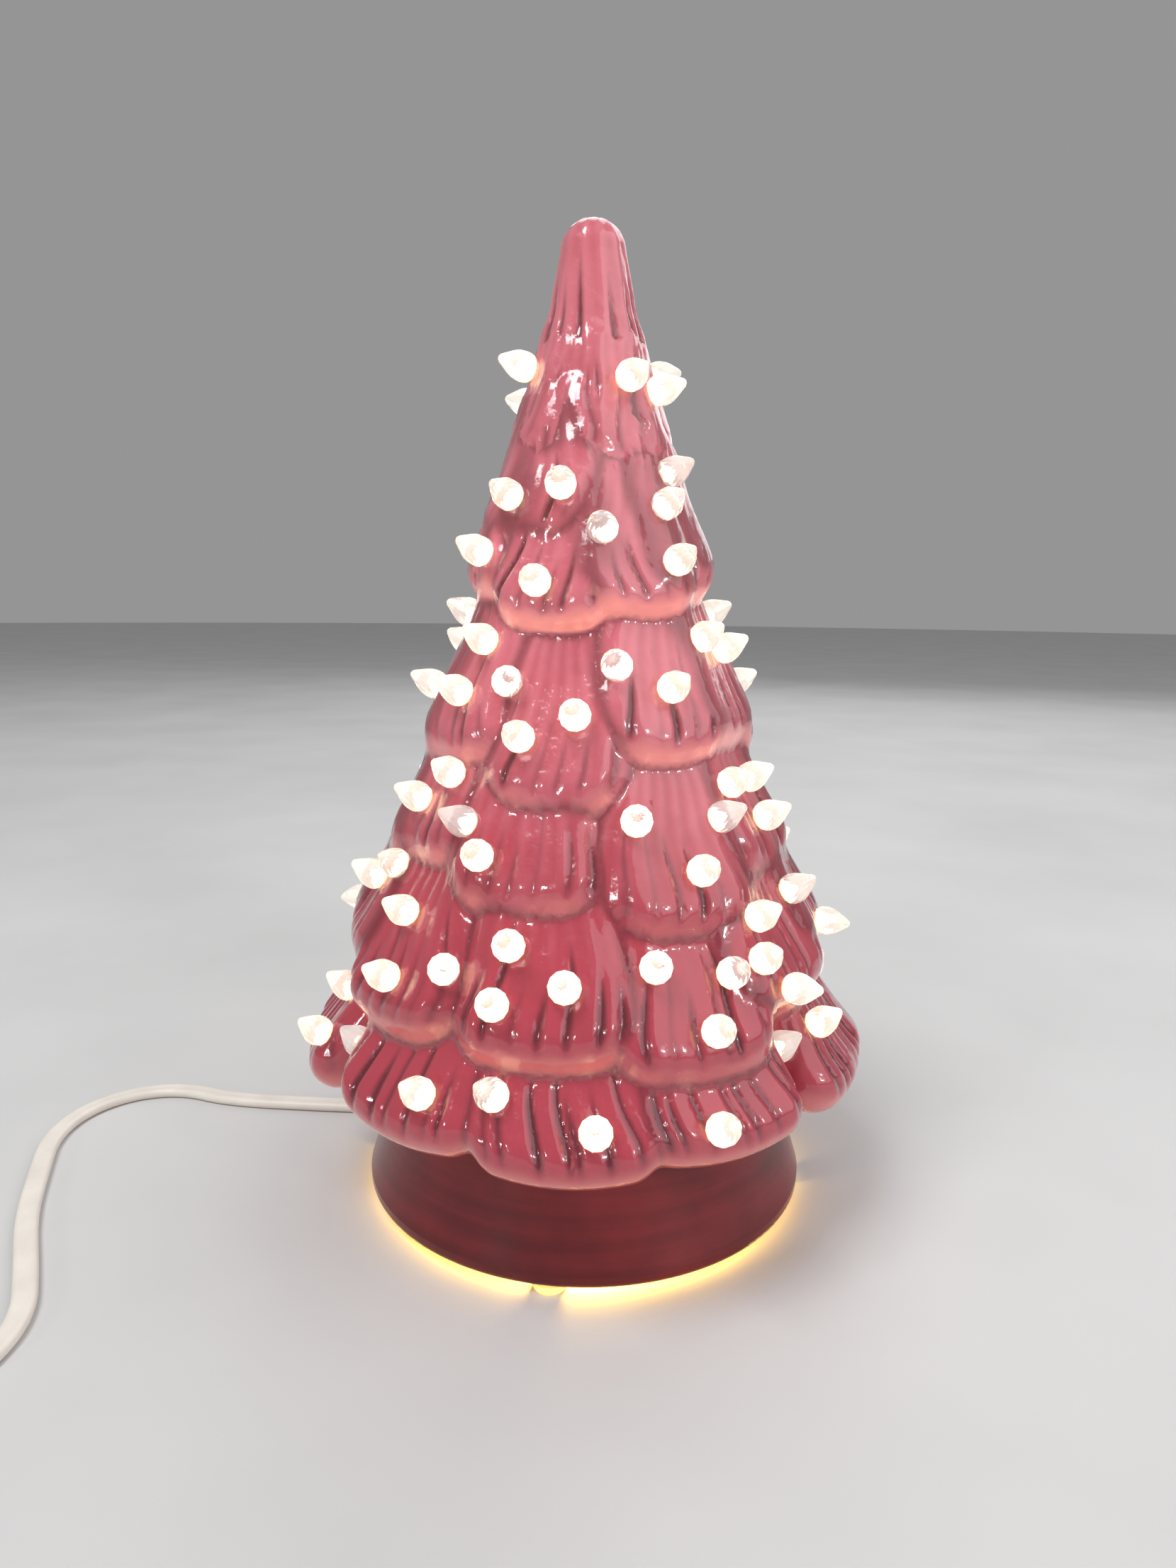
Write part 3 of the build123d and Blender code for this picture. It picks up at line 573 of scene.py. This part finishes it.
# Outlines of a peg and of the light in it, as (radius, height above the glaze) in millimetres
PEG_OUTLINE = [(0, -6.5), (2.0, -6.5), (2.0, 0.05), (2.7, 0.1), (3.35, 0.85), (3.68, 1.8), (3.75, 2.8), (3.62, 3.9),
               (3.3, 4.9), (2.7, 6.05), (1.95, 7.2), (1.35, 8.15), (0.95, 8.75), (0.5, 9.1), (0, 9.2)]
CORE_OUTLINE = [(0, 0.35), (1.9, 0.4), (2.5, 0.9), (2.3, 1.6), (1.2, 2.6), (0.4, 3.6), (0, 3.8)]
PEG_FACETS = 12
CORE_FACETS = 6
PEG_SEED = 3
CORE_SEED = 5
# Length at either end of a peg's solid that tells its thick end from its thin one
END_BAND = 0.2 * MM


def peg_seats():
    """Seat on the glaze and outward axis of every peg, from the CAD solids' long axes."""
    seats = []
    for node in PEG_NODES:
        for points in islands(node):
            middle = points.mean(0)
            axis = np.linalg.svd(points - middle, full_matrices=False)[2][0]
            along = (points - middle) @ axis
            off_axis = np.linalg.norm(points - middle - along[:, None] * axis, axis=1)
            low_end = off_axis[along < along.min() + END_BAND].mean()
            high_end = off_axis[along > along.max() - END_BAND].mean()
            if low_end < high_end:
                axis, along = -axis, -along
            seats.append((middle + axis * (along.max() - PEG_HEAD), axis))
    return seats


def tree_glaze(settings):
    """Glossy mauve glaze, thin on ridges, pooled in grooves, darker in the creases by pooled glaze and painted
    shade, lighter towards the crown by painted light, and lit through on the undersides.
    """
    finish = Finish("tree_glaze", coat_weight=0.8, coat_roughness=0.03)
    groove = finish.attribute("groove")
    ridge = finish.attribute("ridge")
    crease = finish.attribute("crease")
    glow = finish.attribute("glow")
    cloud = finish.noise(70, 4).out("Fac")
    streak = finish.noise(260, 3, (1, 1, 0.25)).out("Fac")
    height = finish.node("ShaderNodeSeparateXYZ", None, {"Vector": finish.place()}).out("Z")
    # Painted light: the glaze grows lighter, and glows a little, with height towards the crown
    upper = finish.between(height, *PAINTED_LIGHT_HEIGHTS)
    # Lighter where the glaze runs thin over the ridges and with the cloud and streaks, and lighter towards the
    # crown by painted light
    thin = finish.between(ridge * 0.15 + cloud * 0.5 + streak * 0.15 + upper * 0.6, 0.5, 1.3)
    colour = finish.mix(thin, settings.glaze, settings.ridge)
    # Darker in the grooves by pooled glaze, and in the creases by pooled glaze and painted shade
    pooled = finish.between(groove + crease * 0.55 + streak * 0.1, 0.05, 0.95)
    colour = finish.mix(pooled, colour, settings.pool)
    colour = finish.mix(glow * 0.8, colour, settings.glow)
    finish.set("Base Color", colour)
    # Emission: the light through the undersides, plus a little painted light towards the crown
    lit = glow + upper * 0.12
    finish.set("Emission Color", finish.mix(lit, (0.0, 0.0, 0.0), settings.glow))
    finish.set("Emission Strength", 0.5)
    finish.set("Roughness", cloud * 0.1 + 0.12)
    finish.bump(finish.noise(330, 2).out("Fac") + finish.noise(120, 2).out("Fac"), 0.0006, 0.4)
    return finish.material


def shell_mesh(settings):
    """Closed mesh of the cast shell with needle grooves in the outside, and its numbers on points."""
    step = settings.step / MM
    field, corner = shell_field(step, settings.wall / MM, settings.crease / MM)
    grid = openvdb.FloatGrid()
    grid.background = BAND * step
    grid.copyFromArray(np.clip(field, -BAND * step, BAND * step))
    points, quads = grid.convertToQuads(isovalue=0.0)
    points = points * step + corner
    mesh = mesh_of("tree_shell", points * MM, quads.tolist())
    normals = normals_of(mesh)
    if np.einsum("ij,ij->", normals, points - MIDDLE) < 0:
        mesh.flip_normals()
        normals = normals_of(mesh)
    needles = needle_places(points, settings)
    rise = settings.swell * (needles["ridge"] - 0.5) - settings.groove * needles["groove"]
    rise *= needles["outside"]
    moved = points * MM + normals * rise[:, None]
    mesh.vertices.foreach_set("co", moved.ravel())
    mesh.update()
    share = min(1.0, settings.triangles / (2 * len(mesh.polygons)))
    mesh = with_modifiers("tree_shell", mesh, ("DECIMATE", {"ratio": share}))
    points = points_of(mesh) / MM
    needles = needle_places(points, settings)
    down = smooth_step(*UNDERSIDE, normals_of(mesh)[:, 2])
    needles["glow"] = needles["glow"] * down * needles["outside"]
    keep_attributes(mesh, needles)
    mesh.shade_smooth()
    return mesh


class TREE_OT_shell(bpy.types.Operator):
    """Make the cast tree shell"""

    bl_idname = "ceramic_tree.shell"
    bl_label = "Tree shell"

    def execute(self, context):
        settings = context.scene.ceramic_tree
        new_piece("tree_shell_glazed", shell_mesh(settings), tree_glaze(settings), "tree", "tree_glaze",
                  *SHELL_NODES)
        return {"FINISHED"}


def scatter_nodes():
    """Node tree that sets a form on every point, along the point's axis, with its own turn."""
    tree = bpy.data.node_groups.new("Peg scatter", "GeometryNodeTree")
    face = tree.interface
    face.new_socket("Geometry", in_out="INPUT", socket_type="NodeSocketGeometry")
    face.new_socket("Form", in_out="INPUT", socket_type="NodeSocketObject")
    face.new_socket("Finish", in_out="INPUT", socket_type="NodeSocketMaterial")
    face.new_socket("Seed", in_out="INPUT", socket_type="NodeSocketInt")
    face.new_socket("Geometry", in_out="OUTPUT", socket_type="NodeSocketGeometry")
    given = tree.nodes.new("NodeGroupInput")
    form = add_node(tree, "GeometryNodeObjectInfo", None, {"As Instance": True})
    axis = add_node(tree, "GeometryNodeInputNamedAttribute", {"data_type": "FLOAT_VECTOR"}, {"Name": "axis"})
    aimed = add_node(tree, "FunctionNodeAlignRotationToVector", {"axis": "Z"}, {"Vector": axis})
    spin = add_node(tree, "FunctionNodeRandomValue", {"data_type": "FLOAT"}, {2: 0.0, 3: 2 * pi})
    about = add_node(tree, "FunctionNodeAxisAngleToRotation", None,
                     {"Axis": (0, 0, 1), "Angle": spin.out(1)})
    turned = add_node(tree, "FunctionNodeRotateRotation", {"rotation_space": "LOCAL"},
                      {"Rotation": aimed, "Rotate By": about})
    placed = add_node(tree, "GeometryNodeInstanceOnPoints", None,
                      {"Instance": form.out("Geometry"), "Rotation": turned})
    real = add_node(tree, "GeometryNodeRealizeInstances", None, {"Geometry": placed})
    finished = add_node(tree, "GeometryNodeSetMaterial", None, {"Geometry": real})
    result = tree.nodes.new("NodeGroupOutput")
    for source, target in ((given.outputs["Geometry"], placed.node.inputs["Points"]),
                           (given.outputs["Form"], form.node.inputs["Object"]),
                           (given.outputs["Finish"], finished.node.inputs["Material"]),
                           (given.outputs["Seed"], spin.node.inputs["Seed"]),
                           (finished.socket, result.inputs["Geometry"])):
        tree.links.new(source, target)
    return tree


def scattered(name, tree, seats, form_mesh, material, seed):
    """Plain mesh of a form on every seat."""
    points = bpy.data.meshes.new(name + "_points")
    points.from_pydata([tuple(place) for place, _ in seats], [], [])
    layer = points.attributes.new("axis", "FLOAT_VECTOR", "POINT")
    layer.data.foreach_set("vector", np.array([axis for _, axis in seats], np.float32).ravel())
    holder = bpy.data.objects.new(name + "_points", points)
    form = bpy.data.objects.new(name + "_form", form_mesh)
    for item in (holder, form):
        bpy.context.scene.collection.objects.link(item)
    modifier = holder.modifiers.new("Scatter", "NODES")
    modifier.node_group = tree
    given = {"Form": form, "Finish": material, "Seed": seed}
    for socket in tree.interface.items_tree:
        if socket.in_out == "INPUT" and socket.name in given:
            modifier[socket.identifier] = given[socket.name]
    mesh = finished_mesh(holder)
    for item in (holder, form):
        bpy.data.objects.remove(item)
    return mesh


def peg_clear(lamp):
    """Clear moulded plastic, lit warm at its root and white in its head."""
    finish = Finish("peg_clear", transmission_weight=0.6, ior=1.46, emission_strength=lamp.peg_strength)
    cloud = finish.noise(700, 2).out("Fac")
    root = finish.between(finish.attribute("rise") + cloud * 0.1, 0.42, 0.08)
    finish.set("Base Color", finish.mix(cloud, (1.0, 0.98, 0.94), (0.97, 0.96, 0.95)))
    finish.set("Roughness", cloud * 0.06 + 0.02)
    finish.set("Emission Color", finish.mix(root, lamp.tip, lamp.root))
    return finish.material


def peg_lit(lamp):
    """Light caught inside a peg."""
    finish = Finish("peg_lit", base_color=(1.0, 0.9, 0.7), roughness=0.3,
                    emission_strength=lamp.core_strength)
    cloud = finish.noise(500, 2).out("Fac")
    finish.set("Emission Color", finish.mix(cloud, lamp.root, lamp.tip))
    return finish.material


class TREE_OT_pegs(bpy.types.Operator):
    """Make the light pegs"""

    bl_idname = "ceramic_tree.pegs"
    bl_label = "Light pegs"

    def execute(self, context):
        lamp = context.scene.ceramic_lamp
        seats = peg_seats()
        tree = scatter_nodes()
        form = spun("peg_head", PEG_OUTLINE, PEG_FACETS)
        form.shade_flat()
        keep_attributes(form, {"rise": points_of(form)[:, 2] / PEG_HEAD})
        clear = scattered("pegs", tree, seats, form, peg_clear(lamp), PEG_SEED)
        core = spun("peg_core", CORE_OUTLINE, CORE_FACETS)
        lit = scattered("pegs_lit", tree, seats, core, peg_lit(lamp), CORE_SEED)
        new_piece("light_pegs", clear, None, "tree", "peg_clear", *PEG_NODES)
        new_piece("light_peg_cores", lit, None, "tree", "peg_clear")
        return {"FINISHED"}


def glaze_of_base(settings):
    """Darker mauve glaze, darkened further by painted shade, with soft lighter bands that are partly turned marks
    and partly painted sheen.
    """
    finish = Finish("base_glaze", coat_weight=0.35, coat_roughness=0.05, specular_ior_level=0.2)
    cloud = finish.noise(45, 4).out("Fac")
    band = finish.noise(60, 3, (0.15, 0.15, 4.0)).out("Fac")
    # Lighter bands round the base: partly turned marks, partly painted sheen
    light = finish.between(cloud * 0.6 + band * 0.5, 0.35, 0.8)
    colour = finish.mix(light, settings.base, tuple(2.4 * c for c in settings.base))
    finish.set("Base Color", colour)
    finish.set("Roughness", cloud * 0.1 + 0.2)
    finish.bump(finish.noise(300, 2).out("Fac"), 0.0002, 0.2)
    return finish.material


class TREE_OT_base(bpy.types.Operator):
    """Finish the lamp base and its feet"""

    bl_idname = "ceramic_tree.base"
    bl_label = "Lamp base"

    def execute(self, context):
        settings = context.scene.ceramic_tree
        paint("base_ring", glaze_of_base(settings))
        # The clear feet carry painted light: a warm emission for the bulb's light that leaks out under the base
        paint("bumper_feet", plain("bumper_clear", (0.8, 0.76, 0.66), 0.35, 300, transmission_weight=0.5,
                                    emission_color=(1.0, 0.62, 0.14, 1.0), emission_strength=0.7))
        return {"FINISHED"}


def paint(node, material):
    """Finish on a CAD node that stays as it is."""
    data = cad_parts[node].data
    data.materials.clear()
    data.materials.append(material)


def plain(name, colour, roughness, grain, **constants):
    """Moulded or metal finish with a fine unevenness in colour and gloss."""
    finish = Finish(name, **constants)
    cloud = finish.noise(grain, 3).out("Fac")
    darker = tuple(0.86 * c for c in colour)
    lighter = tuple(min(1, 1.1 * c) for c in colour)
    finish.set("Base Color", finish.mix(cloud, darker, lighter))
    finish.set("Roughness", cloud * 0.12 + (roughness - 0.06))
    finish.bump(finish.noise(8 * grain, 2).out("Fac"), 0.00005, 0.3)
    return finish.material


class TREE_OT_lampholder(bpy.types.Operator):
    """Finish the lampholder"""

    bl_idname = "ceramic_tree.lampholder"
    bl_label = "Lampholder"

    def execute(self, context):
        brass = plain("brass", (0.72, 0.50, 0.22), 0.28, 300, metallic=1.0)
        paint("socket_body", plain("socket_phenolic", (0.78, 0.75, 0.68), 0.45, 200))
        paint("socket_shell", brass)
        paint("socket_contact", brass)
        paint("socket_clip", plain("spring_steel", (0.60, 0.60, 0.61), 0.3, 400, metallic=1.0))
        return {"FINISHED"}


class TREE_OT_bulb(bpy.types.Operator):
    """Finish the candle bulb"""

    bl_idname = "ceramic_tree.bulb"
    bl_label = "Bulb"

    def execute(self, context):
        lamp = context.scene.ceramic_lamp
        glass = Finish("bulb_clear", transmission_weight=1.0, ior=1.05)
        haze = glass.noise(90, 3).out("Fac")
        glass.set("Base Color", glass.mix(haze, (1.0, 0.99, 0.97), (0.97, 0.94, 0.88)))
        glass.set("Roughness", haze * 0.04 + 0.01)
        wire = Finish("filament", base_color=(0.4, 0.35, 0.3), roughness=0.4,
                      emission_strength=lamp.bulb_strength)
        heat = wire.noise(400, 2).out("Fac")
        wire.set("Emission Color", wire.mix(heat, lamp.bulb, tuple(0.7 * c for c in lamp.bulb)))
        paint("bulb_foot", plain("solder", (0.6, 0.6, 0.58), 0.35, 500, metallic=1.0))
        paint("bulb_insulator", plain("black_glass", (0.02, 0.02, 0.025), 0.15, 200))
        paint("bulb_shell", plain("brass_bright", (0.80, 0.60, 0.30), 0.22, 300, metallic=1.0))
        paint("bulb_glass", glass.material)
        paint("bulb_stem", glass.material)
        paint("bulb_filament", wire.material)
        return {"FINISHED"}


def along_exit(distance, height):
    """Point in millimetres above the line along which the cord leaves the base."""
    out = compass(CORD_EXIT_AZIMUTH) * distance
    return Vector((out[0], out[1], height))


def lead_points():
    """Route from the lampholder to the switch, in millimetres."""
    points = [along_exit(6.5, 11), along_exit(20, 11), along_exit(45, CORD_LOW), along_exit(64, CORD_LOW)]
    points += [Vector((x, y, CORD_LOW)) for x, y in (
        (-84, 28.5), (-112, 31), (-128, 37.5), (-143.5, 34.5), (-154, 23), (-156, 6.5), (-150, -11),
        (-142, -33), (-131, -53), (-122.5, -70), (-124, -87), (-133.5, -99.5))]
    points += [Vector((-145.5, -105, 3.2)), SWITCH_IN - SWITCH_HEADING * 9]
    points.append(SWITCH_IN + SWITCH_HEADING * SWITCH_SEAT)
    return points


def coil_points():
    """Route from the switch through the put-away coil to the plug, in millimetres."""
    out = SWITCH_IN + SWITCH_HEADING * SWITCH_LENGTH
    fall = Vector((0, 0, COIL_LOW - SWITCH_IN.z))
    points = [out - SWITCH_HEADING * SWITCH_SEAT, out + SWITCH_HEADING * 6, out + SWITCH_HEADING * 26 + fall]
    start = out + SWITCH_HEADING * 38 + fall
    points.append(start)
    right = SWITCH_HEADING.cross(Vector((0, 0, 1)))
    swell = 1 / cos(pi / (2 * ARC_POINTS))
    x, y, z, side, radius = CORD_WIDTH, 0.0, 0.0, 1, COIL_RADIUS

    def turn(angle, rise):
        nonlocal x, y, z, side
        steps = round(ARC_POINTS * angle / pi)
        for i in range(steps):
            share = (i + 0.5) / steps
            swing = angle * share
            place = SWITCH_HEADING * (x + side * swell * radius * sin(swing))
            place += right * (y + side * radius - side * swell * radius * cos(swing))
            points.append(start + place + Vector((0, 0, z + rise * share)))
        x += side * radius * sin(angle)
        y += side * radius * (1 - cos(angle))
        z += rise
        side = -side

    half_turns = 2 * COIL_TURNS
    for _ in range(half_turns - 1):
        turn(pi, 0)
        radius -= COIL_PITCH / 2
    turn(pi, COIL_STEP)
    for _ in range(half_turns - 2):
        radius += COIL_PITCH / 2
        turn(pi, 0)
    radius += COIL_PITCH / 2
    turn(pi / 2, 0)
    tail = start + SWITCH_HEADING * x + right * y + Vector((0, 0, z))
    points += [tail + right * COIL_TAIL * 0.5, tail + right * COIL_TAIL]
    return points


def cord_section():
    """Closed curve of two round conductors side by side, in metres."""
    curve = bpy.data.curves.new("cord_section", "CURVE")
    curve.dimensions = "2D"
    radius = CORD_THICKNESS / 2
    middle = CORD_WIDTH / 2 - radius
    places = []
    for side in (1, -1):
        for i in range(9):
            angle = radians(-120 + 240 * i / 8)
            places.append((side * (middle + radius * cos(angle)), side * radius * sin(angle)))
    spline = curve.splines.new("POLY")
    spline.points.add(len(places) - 1)
    for point, (px, py) in zip(spline.points, places):
        point.co = (px * MM, max(-radius, min(radius, py)) * MM, 0, 1)
    spline.use_cyclic_u = True
    section = bpy.data.objects.new("cord_section", curve)
    bpy.context.scene.collection.objects.link(section)
    section.hide_render = True
    section.hide_viewport = True
    return section


def cord_curve(name, points, section):
    """Smooth flat cord through the control points of a route."""
    curve = bpy.data.curves.new(name, "CURVE")
    curve.dimensions = "3D"
    curve.twist_mode = "Z_UP"
    curve.bevel_mode = "OBJECT"
    curve.bevel_object = section
    curve.use_fill_caps = True
    spline = curve.splines.new("NURBS")
    spline.points.add(len(points) - 1)
    for point, place in zip(spline.points, points):
        point.co = (*(place * MM), 1)
    spline.order_u = 3
    spline.use_endpoint_u = True
    spline.resolution_u = 6
    return curve


class TREE_OT_cord(bpy.types.Operator):
    """Make the cord, from the lampholder to the switch and from there through its coil to the plug"""

    bl_idname = "ceramic_tree.cord"
    bl_label = "Cord"

    def execute(self, context):
        section = cord_section()
        # Cord: white vinyl, its colour warmed with painted warm light from the bulb
        vinyl_painted_warm = plain("cord_white", (0.80, 0.75, 0.68), 0.4, 120)
        lead = new_piece("cord_to_switch", cord_curve("cord_to_switch", lead_points(), section), vinyl_painted_warm,
                         "base", "cord_white", "cord_lead")
        coil = new_piece("cord_to_plug", cord_curve("cord_to_plug", coil_points(), section), vinyl_painted_warm,
                         "base", "cord_white", "cord_link", "cord_coil")
        lead_points()[0] * MM
        coil_points()[0] * MM
        return {"FINISHED"}


class TREE_OT_switch(bpy.types.Operator):
    """Finish the cord switch, the plug and the coil's tie"""

    bl_idname = "ceramic_tree.switch"
    bl_label = "Switch and plug"

    def execute(self, context):
        moulded = plain("switch_white", (0.78, 0.75, 0.71), 0.35, 150)
        paint("switch_case_lower", moulded)
        paint("switch_case_upper", moulded)
        paint("switch_wheel", plain("switch_wheel_white", (0.70, 0.67, 0.63), 0.5, 150))
        paint("switch_screw", plain("screw_steel", (0.62, 0.62, 0.63), 0.3, 500, metallic=1.0))
        paint("plug_body", plain("plug_white", (0.80, 0.76, 0.73), 0.4, 150))
        paint("plug_blades", plain("blade_brass", (0.75, 0.58, 0.30), 0.3, 400, metallic=1.0))
        paint("coil_tie", plain("tie_strap", (0.70, 0.69, 0.66), 0.55, 200))
        return {"FINISHED"}


# Studio lamps: a name, a place and a size in metres, and a power in watts
STUDIO = [
    ("key", (-0.6, -0.55, 1.6), 0.7, 17.0),
    ("fill", (0.9, -0.6, 0.8), 1.5, 7.5),
    ("back", (0.4, 1.1, 1.0), 1.4, 7.0),
    ("glint_left", (-0.9, -1.1, 0.45), 0.12, 2.2),
    ("glint_right", (1.0, -1.0, 0.50), 0.12, 2.2),
]
STUDIO_TARGET = (0, 0, 0.12)
# Light of the bulb that comes out under the front of the base
BASE_GLOW_PLACE = (0, -0.032, 0.012)
BASE_GLOW_COLOUR = (1.0, 0.62, 0.12)
BASE_GLOW_POWER = 0.6
BASE_GLOW_RADIUS = 0.01
FLOOR_RADIUS = 6.0
WORLD_COLOUR = (0.30, 0.30, 0.30, 1.0)


def aim(place, target):
    """Matrix of a lamp at a place, looking at a target."""
    look = (Vector(target) - Vector(place)).to_track_quat("-Z", "Y")
    return Matrix.Translation(place) @ look.to_matrix().to_4x4()


def soft_lamp(name, place, target, size, power):
    """Square area lamp at a place, aimed at a target."""
    lamp = bpy.data.lights.new(name, "AREA")
    lamp.shape = "SQUARE"
    lamp.size = size
    lamp.energy = power
    holder = bpy.data.objects.new(name, lamp)
    bpy.context.scene.collection.objects.link(holder)
    holder.matrix_world = aim(place, target)


class TREE_OT_stage(bpy.types.Operator):
    """Set the floor, the light and the camera"""

    bl_idname = "ceramic_tree.stage"
    bl_label = "Stage"

    def execute(self, context):
        scene = context.scene
        scene.view_settings.view_transform = "Standard"
        form = bmesh.new()
        bmesh.ops.create_circle(form, cap_ends=True, segments=96, radius=FLOOR_RADIUS)
        mesh = bpy.data.meshes.new("floor")
        form.to_mesh(mesh)
        form.free()
        floor = bpy.data.objects.new("floor", mesh)
        scene.collection.objects.link(floor)
        mesh.materials.append(plain("floor_pale", (0.62, 0.62, 0.62), 0.6, 8))
        world = bpy.data.worlds.new("studio")
        scene.world = world
        world.use_nodes = True
        world.node_tree.nodes["Background"].inputs["Color"].default_value = WORLD_COLOUR
        for name, place, size, power in STUDIO:
            soft_lamp(name, place, STUDIO_TARGET, size, power)
        lamp = bpy.data.lights.new("base_glow", "POINT")
        lamp.energy = BASE_GLOW_POWER
        lamp.color = BASE_GLOW_COLOUR
        lamp.shadow_soft_size = BASE_GLOW_RADIUS
        glow = bpy.data.objects.new("base_glow", lamp)
        glow.location = BASE_GLOW_PLACE
        scene.collection.objects.link(glow)
        camera = bpy.data.cameras.new("photo_view")
        camera.lens = FOCAL_PIXELS / PHOTO_HEIGHT * SENSOR
        camera.sensor_width = SENSOR
        camera.clip_start = 0.01
        view = bpy.data.objects.new("photo_view", camera)
        scene.collection.objects.link(view)
        view.matrix_world = (Matrix.Translation(CAMERA_PLACE) @ Matrix.Rotation(pi / 2 - CAMERA_PITCH, 4, "X")
                             @ Matrix.Rotation(CAMERA_ROLL, 4, "Z"))
        scene.camera = view
        return {"FINISHED"}


class TREE_PT_pieces(bpy.types.Panel):
    """Pieces of the lit ceramic tree"""

    bl_idname = "TREE_PT_pieces"
    bl_label = "Ceramic Tree"
    bl_space_type = "VIEW_3D"
    bl_region_type = "UI"
    bl_category = "Ceramic Tree"

    def draw(self, context):
        for operator in OPERATORS:
            self.layout.operator(operator.bl_idname)
        for settings in (context.scene.ceramic_tree, context.scene.ceramic_lamp):
            box = self.layout.box()
            for name in settings.__annotations__:
                box.prop(settings, name)


OPERATORS = [TREE_OT_stage, TREE_OT_cord, TREE_OT_shell, TREE_OT_pegs, TREE_OT_base, TREE_OT_lampholder,
             TREE_OT_bulb, TREE_OT_switch]
CLASSES = [TreeSettings, LampSettings, *OPERATORS, TREE_PT_pieces]


def register():
    for item in CLASSES:
        bpy.utils.register_class(item)
    bpy.types.Scene.ceramic_tree = PointerProperty(type=TreeSettings)
    bpy.types.Scene.ceramic_lamp = PointerProperty(type=LampSettings)


def unregister():
    del bpy.types.Scene.ceramic_tree
    del bpy.types.Scene.ceramic_lamp
    for item in reversed(CLASSES):
        bpy.utils.unregister_class(item)


def main():
    """Make every piece."""
    register()
    for operator in OPERATORS:
        group, name = operator.bl_idname.split(".")
        getattr(getattr(bpy.ops, group), name)()


if __name__ == "__main__":
    main()
